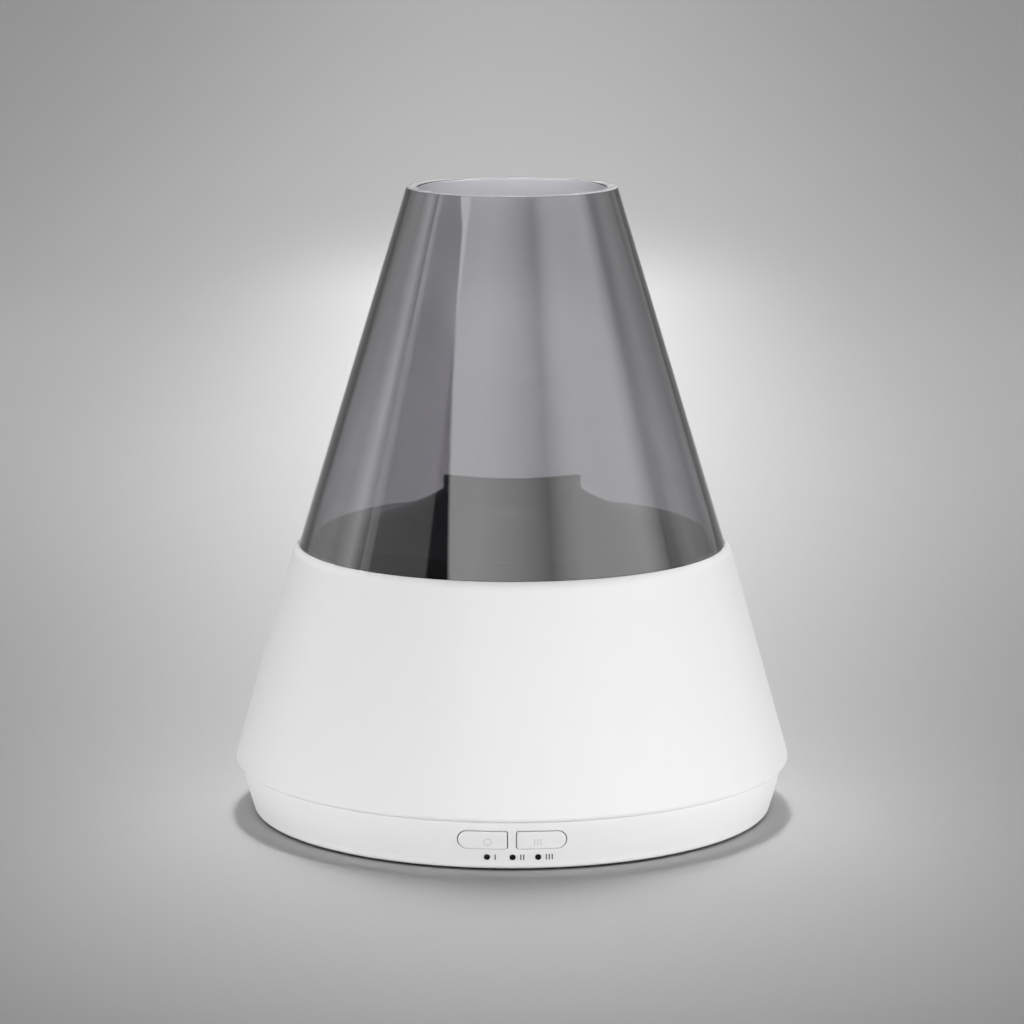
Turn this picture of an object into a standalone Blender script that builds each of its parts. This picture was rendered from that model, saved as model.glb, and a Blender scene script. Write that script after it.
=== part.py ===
"""Essential oil diffuser, modelled as the assembly of its real pieces.

Metres, +Z up.  The origin is the centre of the base on the surface it stands on, and the
front, where the two buttons are, faces -Y.

The white cover with its smoked cone lifts off the base.  Under it a smoked mist lid closes
the water tank.  The tank is the top of the machine housing; the electronics, the fan and
the ultrasonic disc sit between the tank's floor and the bottom of the base.
"""
import math

import bmesh
import bpy
from mathutils import Euler, Matrix, Vector

MM = 0.001

# ---- driving dimensions -------------------------------------------------------------
TURN_STEPS = 40                 # sides of the large turned shells
SMALL_STEPS = 20                # sides of the small turned pieces
FIT_GAP = 0.3 * MM              # clearance between pieces that touch

CONE_TOP_Z = 169.1 * MM         # overall height
CONE_WALL = 2.0 * MM
CONE_SLOPE = 0.3048             # radius lost for each unit of height
CONE_FOOT_R = 57.37 * MM        # outer radius where the cone meets the cover
COVER_LIP_Z = 73.2 * MM
COVER_R = 75.05 * MM            # widest radius, at the cover's lower edge
COVER_FOOT_Z = 13.7 * MM
COVER_SHOULDER_R = 59.3 * MM
COVER_SHOULDER_Z = 70.9 * MM
COVER_WALL = 2.2 * MM

BASE_TOP_R = 73.6 * MM
BASE_TOP_Z = COVER_FOOT_Z - FIT_GAP
BASE_BEND_R = 71.7 * MM
BASE_BEND_Z = 6.0 * MM
BASE_FOOT_R = 70.45 * MM
BASE_UNDER_Z = 0.5 * MM         # the rubber feet hold the shell this far off the surface
BASE_EDGE_R = 1.5 * MM
BASE_WALL = 2.1 * MM
FLOOR_Z = 2.5 * MM              # inside face of the base's floor

TANK_RIM_R = 50.4 * MM
TANK_RIM_Z = 74.7 * MM
TANK_WALL = 2.0 * MM
TANK_FLOOR_Z = 34.0 * MM
TANK_FLOOR_THICK = 2.2 * MM
DECK_Z = 28.2 * MM              # top of the housing around the tank's foot
DECK_THICK = 2.2 * MM
DUCT_Y = 34.0 * MM
DUCT_R = 8.5 * MM
DUCT_BORE_R = 6.8 * MM
DUCT_TOP_Z = 66.0 * MM

LID_R = 52.0 * MM
LID_SKIRT_R = 52.6 * MM
LID_EDGE_Z = 77.0 * MM
LID_WALL = 1.8 * MM
NECK_R = 18.4 * MM
NECK_FOOT_Z = 90.3 * MM
NECK_MOUTH_Z = 91.0 * MM        # height of the slanted mouth on the axis
NECK_MOUTH_TILT = math.radians(8.0)

PIEZO_R = 10.0 * MM
PIEZO_HOLE_R = 8.2 * MM
PIEZO_SCREW_RING = 17.5 * MM
CLAMP_Z = 26.8 * MM

BUTTON_X = 1.25 * MM            # inner edge of each cap, from the centre line
BUTTON_WIDE = 12.6 * MM
BUTTON_LOW_Z = 6.2 * MM
BUTTON_TALL = 4.9 * MM
BUTTON_OUTER_CORNER = 2.4 * MM
BUTTON_INNER_CORNER = 0.5 * MM
BUTTON_PROUD = 0.15 * MM
BUTTON_FLANGE_Y = -67.5 * MM
BUTTON_FLANGE_THICK = 1.2 * MM
BUTTON_FLANGE_EDGE = 0.85 * MM
INDICATOR_X = (-6.4 * MM, 0.15 * MM, 6.7 * MM)
INDICATOR_Z = 3.9 * MM
INDICATOR_R = 0.75 * MM

PANEL_Y = -61.0 * MM            # front face of the button board
PANEL_THICK = 1.6 * MM
PANEL_HALF = 18.0 * MM

FAN_Y = 33.0 * MM
FAN_SIDE = 40.0 * MM
FAN_LOW_Z = 6.0 * MM
FAN_THICK = 10.0 * MM
FAN_BORE_R = 19.0 * MM
FAN_HUB_R = 9.0 * MM
FAN_BLADES = 7
FAN_HOLE_PITCH = 32.0 * MM

BOARD_CENTRE = Vector((-4.0, -32.0, 0.0)) * MM
BOARD_SIZE = Vector((58.0, 34.0, 1.6)) * MM
BOARD_LOW_Z = 6.3 * MM
BOARD_HOLE_X = 25.0 * MM
BOARD_HOLE_Y = 13.0 * MM

LIGHT_BOARD_X = 47.0 * MM
LIGHT_BOARD_SIZE = Vector((14.0, 30.0, 1.2)) * MM
LIGHT_BOARD_LOW_Z = 14.0 * MM
LIGHT_BOARD_HOLE_Y = 12.0 * MM

CASE_SCREW_RING = 60.0 * MM
CASE_SCREW_ANGLES = (25.0, 155.0, 205.0, 335.0)
CASE_BOSS_R = 4.0 * MM
FOOT_RING = 56.0 * MM
FOOT_ANGLES = (45.0, 135.0, 225.0, 315.0)
FOOT_R = 6.0 * MM
FOOT_THICK = 1.3 * MM

JACK_Z = 7.2 * MM
JACK_FACE_Y = 71.5 * MM
JACK_NOSE_R = 3.6 * MM
JACK_BORE_R = 2.75 * MM
JACK_BACK_Y = 67.0 * MM

# ---- finishes: colour, roughness, metallic, alpha -----------------------------------
WHITE = ("white_plastic", (0.86, 0.86, 0.86), 0.30, 0.0, 1.0)
CAP_WHITE = ("white_cap", (0.84, 0.84, 0.84), 0.35, 0.0, 1.0)
SMOKE = ("smoked_plastic", (0.16, 0.155, 0.165), 0.06, 0.0, 0.45)
LID_SMOKE = ("dark_smoked_plastic", (0.03, 0.03, 0.032), 0.15, 0.0, 1.0)
TANK_WHITE = ("tank_plastic", (0.80, 0.80, 0.79), 0.38, 0.0, 1.0)
RUBBER = ("grey_rubber", (0.22, 0.22, 0.22), 0.85, 0.0, 1.0)
SILICONE = ("white_silicone", (0.72, 0.72, 0.70), 0.60, 0.0, 1.0)
STEEL = ("zinc_steel", (0.60, 0.60, 0.62), 0.32, 1.0, 1.0)
CERAMIC = ("silvered_ceramic", (0.75, 0.74, 0.72), 0.30, 0.8, 1.0)
BLACK = ("black_plastic", (0.02, 0.02, 0.022), 0.40, 0.0, 1.0)
BOARD_GREEN = ("circuit_board", (0.02, 0.16, 0.07), 0.45, 0.0, 1.0)
ALUMINIUM = ("cast_aluminium", (0.70, 0.71, 0.72), 0.35, 1.0, 1.0)
COPPER = ("copper_winding", (0.62, 0.28, 0.12), 0.35, 1.0, 1.0)
SLEEVE = ("capacitor_sleeve", (0.03, 0.04, 0.10), 0.35, 0.0, 1.0)
LED_CLEAR = ("led_epoxy", (0.85, 0.86, 0.80), 0.20, 0.0, 1.0)
WIRE_RED = ("red_wire", (0.45, 0.03, 0.02), 0.50, 0.0, 1.0)
WIRE_BLACK = ("black_wire", (0.02, 0.02, 0.02), 0.50, 0.0, 1.0)
WIRE_WHITE = ("white_wire", (0.70, 0.70, 0.68), 0.50, 0.0, 1.0)


# ---- scene and finishes --------------------------------------------------------------
def clear_scene():
    for obj in list(bpy.data.objects):
        bpy.data.objects.remove(obj, do_unlink=True)
    for collection in list(bpy.data.collections):
        bpy.data.collections.remove(collection)


def new_collection(name):
    collection = bpy.data.collections.new(name)
    bpy.context.scene.collection.children.link(collection)
    return collection


def material(finish):
    name, colour, roughness, metallic, alpha = finish
    found = bpy.data.materials.get(name)
    if found:
        return found
    made = bpy.data.materials.new(name)
    made.use_nodes = True
    shader = made.node_tree.nodes["Principled BSDF"]
    shader.inputs["Base Color"].default_value = (*colour, 1.0)
    shader.inputs["Roughness"].default_value = roughness
    shader.inputs["Metallic"].default_value = metallic
    shader.inputs["Alpha"].default_value = alpha
    made.diffuse_color = (*colour, alpha)
    return made


def add_part(name, mesh, finish, place=(0.0, 0.0, 0.0), turn=(0.0, 0.0, 0.0)):
    """Links one finished piece of the object."""
    obj = bpy.data.objects.new(name, mesh)
    obj.location = place
    obj.rotation_euler = turn
    parts.objects.link(obj)
    mesh.materials.append(material(finish))
    mesh.shade_smooth()
    mesh.set_sharp_from_angle(angle=math.radians(35.0))
    return obj


def add_guide(name, mesh, place=(0.0, 0.0, 0.0), turn=(0.0, 0.0, 0.0)):
    """Links a shape that only cuts or joins, and is not itself a piece."""
    obj = bpy.data.objects.new(name, mesh)
    obj.location = place
    obj.rotation_euler = turn
    obj.hide_render = True
    obj.display_type = "WIRE"
    cutters.objects.link(obj)
    return obj


# ---- shapes --------------------------------------------------------------------------
def arc(centre_r, centre_z, radius, start, end, count):
    """Points of an arc in the (r, z) plane, angles in degrees from +r towards +z."""
    points = []
    for i in range(count + 1):
        angle = math.radians(start + (end - start) * i / count)
        points.append((centre_r + radius * math.cos(angle), centre_z + radius * math.sin(angle)))
    return points


def profile_mesh(name, points, closed):
    mesh = bpy.data.meshes.new(name)
    edges = [(i, i + 1) for i in range(len(points) - 1)]
    if closed:
        edges.append((len(points) - 1, 0))
    mesh.from_pydata([(r, 0.0, z) for r, z in points], edges, [])
    return mesh


def spin(obj, steps):
    screw = obj.modifiers.new("turn", "SCREW")
    screw.axis = "Z"
    screw.steps = steps
    screw.render_steps = steps
    screw.use_merge_vertices = True
    screw.merge_threshold = 0.00001
    screw.use_smooth_shade = True
    return obj


def turned(name, points, finish, closed=True, steps=SMALL_STEPS, place=(0, 0, 0), turn=(0, 0, 0)):
    """A turned piece: its (r, z) profile runs down the outer side, top to bottom."""
    return spin(add_part(name, profile_mesh(name, points, closed), finish, place, turn), steps)


def turned_guide(name, points, closed=True, steps=SMALL_STEPS, place=(0, 0, 0), turn=(0, 0, 0)):
    return spin(add_guide(name, profile_mesh(name, points, closed), place, turn), steps)


def boxes_mesh(name, boxes):
    """One mesh of separate upright boxes, each a pair of opposite corners."""
    form = bmesh.new()
    for low, high in boxes:
        low, high = Vector(low), Vector(high)
        size = Matrix.Diagonal((high - low).to_4d())
        size[3][3] = 1.0
        bmesh.ops.create_cube(form, size=1.0, matrix=Matrix.Translation((low + high) / 2.0) @ size)
    mesh = bpy.data.meshes.new(name)
    form.to_mesh(mesh)
    form.free()
    return mesh


def rods_mesh(name, rods, sides, turn=(0.0, 0.0, 0.0)):
    """One mesh of separate cylinders, each (centre, radius, length), all turned alike."""
    form = bmesh.new()
    rotate = Euler(turn).to_matrix().to_4x4()
    for centre, radius, length in rods:
        bmesh.ops.create_cone(form, cap_ends=True, segments=sides, radius1=radius, radius2=radius,
                              depth=length, matrix=Matrix.Translation(centre) @ rotate)
    mesh = bpy.data.meshes.new(name)
    form.to_mesh(mesh)
    form.free()
    return mesh


def uprights(name, places, radius, low, high, sides=12):
    """Guides: an upright cylinder between two heights at each (x, y)."""
    middle, length = (low + high) / 2.0, high - low
    rods = [(Vector((x, y, middle)), radius, length) for x, y in places]
    return add_guide(name, rods_mesh(name, rods, sides))


def along_y(name, places, radius, low, high, sides=16):
    """Guides: a cylinder along Y between two depths at each (x, z)."""
    middle, length = (low + high) / 2.0, high - low
    rods = [(Vector((x, middle, z)), radius, length) for x, z in places]
    return add_guide(name, rods_mesh(name, rods, sides, (math.pi / 2.0, 0.0, 0.0)))


def block(name, low, high, finish, bevel=0.0):
    """A box piece standing at its own centre, with optional small bevelled edges."""
    low, high = Vector(low), Vector(high)
    half = (high - low) / 2.0
    obj = add_part(name, boxes_mesh(name, [(-half, half)]), finish, (low + high) / 2.0)
    if bevel:
        edge = obj.modifiers.new("edge", "BEVEL")
        edge.width = bevel
        edge.segments = 2
    return obj


def outline_mesh(name, points, half_depth):
    """A flat closed outline in X and Y, extruded half_depth each way, as a closed mesh."""
    curve = bpy.data.curves.new(name, "CURVE")
    curve.dimensions = "2D"
    curve.fill_mode = "BOTH"
    curve.extrude = half_depth
    line = curve.splines.new("POLY")
    line.points.add(len(points) - 1)
    for point, (x, y) in zip(line.points, points):
        point.co = (x, y, 0.0, 1.0)
    line.use_cyclic_u = True
    obj = bpy.data.objects.new(name, curve)
    cutters.objects.link(obj)
    bpy.context.view_layer.update()
    mesh = bpy.data.meshes.new_from_object(obj.evaluated_get(bpy.context.evaluated_depsgraph_get()))
    bpy.data.objects.remove(obj)
    form = bmesh.new()
    form.from_mesh(mesh)
    bmesh.ops.remove_doubles(form, verts=form.verts, dist=0.000001)
    bmesh.ops.recalc_face_normals(form, faces=form.faces)
    form.to_mesh(mesh)
    form.free()
    mesh.materials.clear()
    return mesh


def combine(obj, other, operation):
    boolean = obj.modifiers.new(other.name, "BOOLEAN")
    boolean.object = other
    boolean.operation = operation
    boolean.solver = "EXACT"
    return obj


def cut(obj, *others):
    for other in others:
        combine(obj, other, "DIFFERENCE")
    return obj


def join(obj, *others):
    for other in others:
        combine(obj, other, "UNION")
    return obj


def ring_places(radius, degrees):
    return [(radius * math.cos(math.radians(a)), radius * math.sin(math.radians(a))) for a in degrees]


def pivot(name, place):
    """An empty on a moving piece's joint axis."""
    empty = bpy.data.objects.new(name, None)
    empty.location = place
    empty.empty_display_size = 0.01
    parts.objects.link(empty)
    return empty


def screw_piece(name, place, head_r, head_tall, shaft_r, shaft_long, upside_down=False):
    """A pan-head screw; its head's seat is at place, and its shaft points down or up."""
    edge = head_r * 0.3
    shoulder = (head_r, head_tall - edge)
    points = [(0.0, head_tall), (head_r - edge, head_tall), shoulder, (head_r, 0.0),
              (shaft_r, 0.0), (shaft_r, -shaft_long + shaft_r), (shaft_r * 0.4, -shaft_long),
              (0.0, -shaft_long)]
    turn = (math.pi, 0.0, 0.0) if upside_down else (0.0, 0.0, 0.0)
    screw = turned(name, points, STEEL, closed=False, steps=12, place=place, turn=turn)
    half, thin, deep = head_r * 0.62, head_r * 0.11, head_tall * 0.45
    low, high = head_tall - deep, head_tall * 1.5
    slot = [((-half, -thin, low), (half, thin, high))]
    cross = add_guide(name + "_slot", boxes_mesh(name + "_slot", slot), place, turn)
    return cut(screw, cross)


# ---- cover with its smoked cone ---------------------------------------------------------
def cone_radius(z):
    return CONE_FOOT_R - CONE_SLOPE * (z - COVER_LIP_Z)


def smoke_cone():
    """Smoked cone: full-round top edge, straight wall, and an upright collar at its foot."""
    half = CONE_WALL / 2.0
    rim_z = CONE_TOP_Z - half
    lean = math.degrees(math.atan(CONE_SLOPE))
    rim_r = cone_radius(rim_z) - half * math.hypot(1.0, CONE_SLOPE)
    collar_low = COVER_LIP_Z - 7.2 * MM
    points = arc(rim_r, rim_z, half, 180.0 + lean, lean, 6)
    points += [(CONE_FOOT_R, COVER_LIP_Z), (CONE_FOOT_R, collar_low),
               (CONE_FOOT_R - CONE_WALL, collar_low), (CONE_FOOT_R - CONE_WALL, COVER_LIP_Z)]
    turned("smoke_cone", points, SMOKE, steps=TURN_STEPS)


def cover_shell():
    """White cover: tapered wall, rounded shoulder and foot, and a shelf under the cone."""
    run = (COVER_R - 0.05 * MM - COVER_SHOULDER_R) / (COVER_SHOULDER_Z - COVER_FOOT_Z - 1.5 * MM)
    lean = math.degrees(math.atan(run))
    bore = CONE_FOOT_R + FIT_GAP
    shelf_top = COVER_LIP_Z - 7.2 * MM - FIT_GAP
    shelf_low = shelf_top - 2.2 * MM
    shelf_r = bore - 3.4 * MM

    shoulder = 4.0 * MM
    centre_r = COVER_SHOULDER_R - shoulder * math.cos(math.radians(lean))
    centre_z = COVER_SHOULDER_Z - shoulder * math.sin(math.radians(lean))
    top_angle = math.degrees(math.acos((bore - centre_r) / shoulder))
    points = arc(centre_r, centre_z, shoulder, top_angle, lean, 4)

    foot = 1.2 * MM
    points += arc(COVER_R - foot, COVER_FOOT_Z + foot, foot, lean, -90.0, 4)
    across = COVER_WALL * math.hypot(1.0, run)

    def inner(z):
        return COVER_SHOULDER_R - across + run * (COVER_SHOULDER_Z - z)

    points += [(inner(COVER_FOOT_Z), COVER_FOOT_Z), (inner(shelf_low), shelf_low),
               (shelf_r, shelf_low), (shelf_r, shelf_top), (bore, shelf_top)]
    turned("cover_shell", points, WHITE, steps=TURN_STEPS)


# ---- mist lid -------------------------------------------------------------------------
def lid_height(radius):
    """Top surface of the lid: nearly flat at its edge, sweeping up into the neck."""
    along = (LID_R - radius) / (LID_R - NECK_R)
    return LID_EDGE_Z + 5.5 * MM * along + 7.8 * MM * along ** 5


def sweep(from_r, to_r, drop, count):
    points = []
    for i in range(count + 1):
        r = from_r + (to_r - from_r) * i / count
        points.append((r, lid_height(r) - drop))
    return points


def mist_lid():
    """Smoked lid: slanted mouth, swept dome, stepped edge, and a ring inside the tank rim."""
    seat_z = TANK_RIM_Z + FIT_GAP
    skirt_low = TANK_RIM_Z - 4.9 * MM
    neck_top = NECK_MOUTH_Z + 6.0 * MM
    skirt_in = TANK_RIM_R + FIT_GAP
    ring_out = TANK_RIM_R - TANK_WALL - 0.4 * MM
    ring_in = ring_out - 1.4 * MM
    points = [(NECK_R, neck_top)] + sweep(NECK_R, LID_R - 0.9 * MM, 0.0, 8)
    points += [(LID_R, LID_EDGE_Z - 0.7 * MM), (LID_R, seat_z + 0.3 * MM),
               (LID_SKIRT_R, seat_z - 0.3 * MM), (LID_SKIRT_R, skirt_low),
               (skirt_in, skirt_low), (skirt_in, seat_z), (ring_out, seat_z),
               (ring_out, seat_z - 2.5 * MM), (ring_in, seat_z - 2.5 * MM)]
    points += sweep(ring_in, NECK_R + 0.9 * MM, LID_WALL, 5)
    points += [(NECK_R - LID_WALL, NECK_FOOT_Z - 1.6 * MM), (NECK_R - LID_WALL, neck_top)]
    lid = turned("mist_lid", points, LID_SMOKE, steps=TURN_STEPS)

    reach = 40.0 * MM
    slab = [((-reach, -reach, 0.0), (reach, reach, reach))]
    turn = (-NECK_MOUTH_TILT, 0.0, 0.0)
    cut(lid, add_guide("mouth_cut", boxes_mesh("mouth_cut", slab), (0.0, 0.0, NECK_MOUTH_Z), turn))


# ---- tank housing -----------------------------------------------------------------------
def tank_housing():
    """One moulding: the water basin, the deck round its foot, and the air duct."""
    under = TANK_FLOOR_Z - TANK_FLOOR_THICK
    deck_under = DECK_Z - DECK_THICK
    foot_r = TANK_RIM_R - 1.6 * MM
    lip_low = COVER_FOOT_Z - 2.9 * MM
    cup_in, cup_out, cup_low = 13.2 * MM, 14.7 * MM, 28.9 * MM
    points = [(TANK_RIM_R - TANK_WALL, TANK_RIM_Z), (TANK_RIM_R, TANK_RIM_Z)]
    points += arc(foot_r + 3.0 * MM, DECK_Z + 3.0 * MM, 3.0 * MM, 180.0, 270.0, 2)
    points += [(64.5 * MM, DECK_Z), (68.0 * MM, DECK_Z - 2.0 * MM), (69.2 * MM, 22.0 * MM),
               (71.0 * MM, COVER_FOOT_Z), (70.4 * MM, lip_low), (68.9 * MM, lip_low),
               (69.1 * MM, COVER_FOOT_Z), (67.3 * MM, 21.6 * MM), (66.4 * MM, deck_under - 1.2 * MM),
               (63.8 * MM, deck_under), (46.4 * MM, deck_under), (46.4 * MM, under), (cup_out, under),
               (cup_out, cup_low), (cup_in, cup_low), (cup_in, under), (PIEZO_HOLE_R, under),
               (PIEZO_HOLE_R, TANK_FLOOR_Z)]
    points += arc(41.0 * MM, TANK_FLOOR_Z + 5.0 * MM, 5.0 * MM, -90.0, 0.0, 3)
    tank = turned("tank_housing", points, TANK_WHITE, steps=TURN_STEPS)

    duct = uprights("duct_wall", [(0.0, DUCT_Y)], DUCT_R, TANK_FLOOR_Z - 1.5 * MM, DUCT_TOP_Z, 24)
    bosses = uprights("case_bosses", ring_places(CASE_SCREW_RING, CASE_SCREW_ANGLES), CASE_BOSS_R,
                      BASE_TOP_Z + 0.6 * MM, deck_under + 1.0 * MM)
    posts = uprights("clamp_posts", clamp_screw_places(), 2.6 * MM, 28.6 * MM, under + 1.0 * MM)
    join(tank, duct, bosses, posts)

    bore = uprights("duct_bore", [(0.0, DUCT_Y)], DUCT_BORE_R, under - 4.0 * MM,
                    DUCT_TOP_Z + 4.0 * MM, 24)
    case_pilots = uprights("case_pilots", ring_places(CASE_SCREW_RING, CASE_SCREW_ANGLES),
                           1.7 * MM, BASE_TOP_Z - 2.0 * MM, 24.0 * MM, 12)
    clamp_pilots = uprights("clamp_pilots", clamp_screw_places(), 1.4 * MM, 27.0 * MM, 32.0 * MM, 12)
    notch = boxes_mesh("button_notch", [((-17.0 * MM, -73.0 * MM, 9.0 * MM),
                                         (17.0 * MM, -62.0 * MM, COVER_FOOT_Z - 0.6 * MM))])
    cut(tank, bore, case_pilots, clamp_pilots, add_guide("button_notch", notch))


# ---- base shell -------------------------------------------------------------------------
def base_radius(z):
    """Outer radius of the base's wall at a height above its rounded lower edge."""
    if z >= BASE_BEND_Z:
        steep = (BASE_TOP_R - BASE_BEND_R) / (BASE_TOP_Z - BASE_BEND_Z)
        return BASE_BEND_R + steep * (z - BASE_BEND_Z)
    low_z = BASE_UNDER_Z + BASE_EDGE_R
    return BASE_FOOT_R + (BASE_BEND_R - BASE_FOOT_R) * (z - low_z) / (BASE_BEND_Z - low_z)


def key_outline(side, grow):
    """Outline of one button in (x, z): large outer corners, small inner ones."""
    low_x, high_x = BUTTON_X - grow, BUTTON_X + BUTTON_WIDE + grow
    low_z, high_z = BUTTON_LOW_Z - grow, BUTTON_LOW_Z + BUTTON_TALL + grow
    corners = [(high_x, high_z, BUTTON_OUTER_CORNER + grow, 0.0),
               (low_x, high_z, BUTTON_INNER_CORNER + grow, 90.0),
               (low_x, low_z, BUTTON_INNER_CORNER + grow, 180.0),
               (high_x, low_z, BUTTON_OUTER_CORNER + grow, 270.0)]
    points = []
    for x, z, radius, start in corners:
        across = -radius if start in (0.0, 270.0) else radius
        upward = -radius if start in (0.0, 90.0) else radius
        points += arc(x + across, z + upward, radius, start, start + 90.0, 3)
    return [(side * x, z) for x, z in points]


def standing(name, outline, near, far):
    """Guide: an outline in (x, z) extruded along Y between two depths."""
    mesh = outline_mesh(name, outline, abs(far - near) / 2.0)
    return add_guide(name, mesh, (0.0, (near + far) / 2.0, 0.0), (math.pi / 2.0, 0.0, 0.0))


def base_profile():
    edge_r, edge_z = BASE_FOOT_R - BASE_EDGE_R, BASE_UNDER_Z + BASE_EDGE_R
    points = [(BASE_TOP_R - BASE_WALL, BASE_TOP_Z), (BASE_TOP_R, BASE_TOP_Z),
              (BASE_BEND_R, BASE_BEND_Z)]
    points += arc(edge_r, edge_z, BASE_EDGE_R, 0.0, -90.0, 3)
    points += [(0.0, BASE_UNDER_Z)]
    inside = [(0.0, FLOOR_Z), (BASE_FOOT_R - BASE_WALL - 1.0 * MM, FLOOR_Z),
              (BASE_FOOT_R - BASE_WALL, FLOOR_Z + 1.0 * MM), (BASE_BEND_R - BASE_WALL, BASE_BEND_Z)]
    return points + inside


def base_posts():
    """Bosses and posts that stand on the floor."""
    sunk = FLOOR_Z - 0.5 * MM
    case = uprights("base_bosses", ring_places(CASE_SCREW_RING, CASE_SCREW_ANGLES), CASE_BOSS_R,
                    sunk, BASE_TOP_Z + 0.3 * MM)
    board = uprights("board_posts", board_screw_places(), 2.5 * MM, sunk, BOARD_LOW_Z - FIT_GAP)
    fan = uprights("fan_posts", fan_corner_places(), 2.8 * MM, sunk, FAN_LOW_Z - FIT_GAP)
    light = uprights("light_posts", light_screw_places(), 2.3 * MM, sunk,
                     LIGHT_BOARD_LOW_Z - FIT_GAP)
    guide_in, guide_out = PANEL_HALF - 1.5 * MM, PANEL_HALF + 2.0 * MM
    near, far = PANEL_Y - 1.5 * MM, PANEL_Y + PANEL_THICK + 1.5 * MM
    rails = add_guide("panel_rails", boxes_mesh("panel_rails", [
        ((-guide_out, near, sunk), (-guide_in, far, 12.0 * MM)),
        ((guide_in, near, sunk), (guide_out, far, 12.0 * MM))]))
    return case, board, fan, light, rails


def base_holes():
    """Openings and blind holes of the base."""
    case = ring_places(CASE_SCREW_RING, CASE_SCREW_ANGLES)
    holes = [uprights("case_holes", case, 1.8 * MM, -1.0 * MM, 16.0 * MM, 12),
             uprights("case_counterbores", case, 3.4 * MM, -1.0 * MM, 3.6 * MM),
             uprights("board_pilots", board_screw_places(), 1.5 * MM, 3.0 * MM, 8.0 * MM, 12),
             uprights("fan_pilots", fan_screw_places(), 1.5 * MM, 1.5 * MM, 8.0 * MM, 12),
             uprights("light_pilots", light_screw_places(), 1.3 * MM, 8.0 * MM, 15.0 * MM, 12),
             uprights("foot_recesses", ring_places(FOOT_RING, FOOT_ANGLES), FOOT_R + FIT_GAP,
                      -1.0 * MM, FOOT_THICK + FIT_GAP, SMALL_STEPS)]
    slot_in, slot_out = PANEL_HALF - 2.5 * MM, PANEL_HALF + FIT_GAP
    near, far = PANEL_Y - FIT_GAP, PANEL_Y + PANEL_THICK + FIT_GAP
    holes.append(add_guide("rail_slots", boxes_mesh("rail_slots", [
        ((-slot_out, near, FLOOR_Z), (-slot_in, far, 14.0 * MM)),
        ((slot_in, near, FLOOR_Z), (slot_out, far, 14.0 * MM))])))
    for side in (-1.0, 1.0):
        holes.append(standing("key_window", key_outline(side, FIT_GAP), -76.0 * MM, -66.0 * MM))
    lenses = [(x, INDICATOR_Z) for x in INDICATOR_X]
    holes.append(along_y("lens_holes", lenses, INDICATOR_R + 0.1 * MM, -75.0 * MM, -66.0 * MM, 12))
    holes.append(along_y("jack_hole", [(0.0, JACK_Z)], JACK_NOSE_R + FIT_GAP, 66.0 * MM, 76.0 * MM,
                         SMALL_STEPS))
    holes.append(intake_slots())
    return holes


def intake_slots():
    """Parallel air slots under the fan, inside its bore's circle."""
    reach, pitch, half = 16.5 * MM, 4.4 * MM, 1.2 * MM
    slots = []
    for i in range(-3, 4):
        y = i * pitch
        half_long = math.sqrt(reach ** 2 - y ** 2)
        slots.append(((-half_long, FAN_Y + y - half, -1.0 * MM),
                      (half_long, FAN_Y + y + half, FLOOR_Z + 1.0 * MM)))
    return add_guide("intake_slots", boxes_mesh("intake_slots", slots))


def base_shell():
    """Lower case: floor, tapered wall, bosses, button windows, lens holes and air intake."""
    base = turned("base_shell", base_profile(), WHITE, steps=TURN_STEPS)
    join(base, *base_posts())
    cut(base, *base_holes())


def fastenings():
    """The rubber feet and the four screws that hold the two halves of the case."""
    for i, (x, y) in enumerate(ring_places(FOOT_RING, FOOT_ANGLES), 1):
        edge = 0.3 * MM
        points = [(0.0, FOOT_THICK), (FOOT_R, FOOT_THICK), (FOOT_R, edge), (FOOT_R - edge, 0.0),
                  (0.0, 0.0)]
        turned(f"foot_{i}", points, RUBBER, closed=False, steps=16, place=(x, y, 0.0))
    for i, (x, y) in enumerate(ring_places(CASE_SCREW_RING, CASE_SCREW_ANGLES), 1):
        screw_piece(f"case_screw_{i}", (x, y, 3.3 * MM), 3.0 * MM, 2.0 * MM, 1.4 * MM, 18.0 * MM,
                    upside_down=True)


# ---- buttons and indicator lenses ------------------------------------------------------
def button(name, side, flange_name):
    """Button cap with a face that follows the base's wall, and a flange that retains it."""
    centre_x = side * (BUTTON_X + BUTTON_WIDE / 2.0)
    centre_z = BUTTON_LOW_Z + BUTTON_TALL / 2.0
    flange_back = BUTTON_FLANGE_Y + BUTTON_FLANGE_THICK
    front, back = -76.0 * MM, BUTTON_FLANGE_Y + 0.4 * MM
    empty = pivot(name + "_axis", (centre_x, flange_back, centre_z))

    mesh = outline_mesh(name, key_outline(side, 0.0), (back - front) / 2.0)
    cap = add_part(name, mesh, CAP_WHITE)
    cap.location = (-centre_x, (front + back) / 2.0 - flange_back, -centre_z)
    cap.rotation_euler = (math.pi / 2.0, 0.0, 0.0)
    cap.parent = empty

    low, high = BASE_BEND_Z - 1.0 * MM, BASE_TOP_Z - 0.5 * MM
    wall = [(0.0, high), (base_radius(high) + BUTTON_PROUD, high),
            (base_radius(BASE_BEND_Z) + BUTTON_PROUD, BASE_BEND_Z),
            (base_radius(low) + BUTTON_PROUD, low), (0.0, low)]
    combine(cap, turned_guide(name + "_face", wall, closed=False, steps=TURN_STEPS * 2), "INTERSECT")

    grow = BUTTON_FLANGE_EDGE
    inner, outer = side * (BUTTON_X - grow), side * (BUTTON_X + BUTTON_WIDE + grow)
    plate = [((min(inner, outer), BUTTON_FLANGE_Y, BUTTON_LOW_Z - grow - 0.1 * MM),
              (max(inner, outer), flange_back, BUTTON_LOW_Z + BUTTON_TALL + grow))]
    join(cap, add_guide(flange_name, boxes_mesh(flange_name, plate)))


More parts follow.
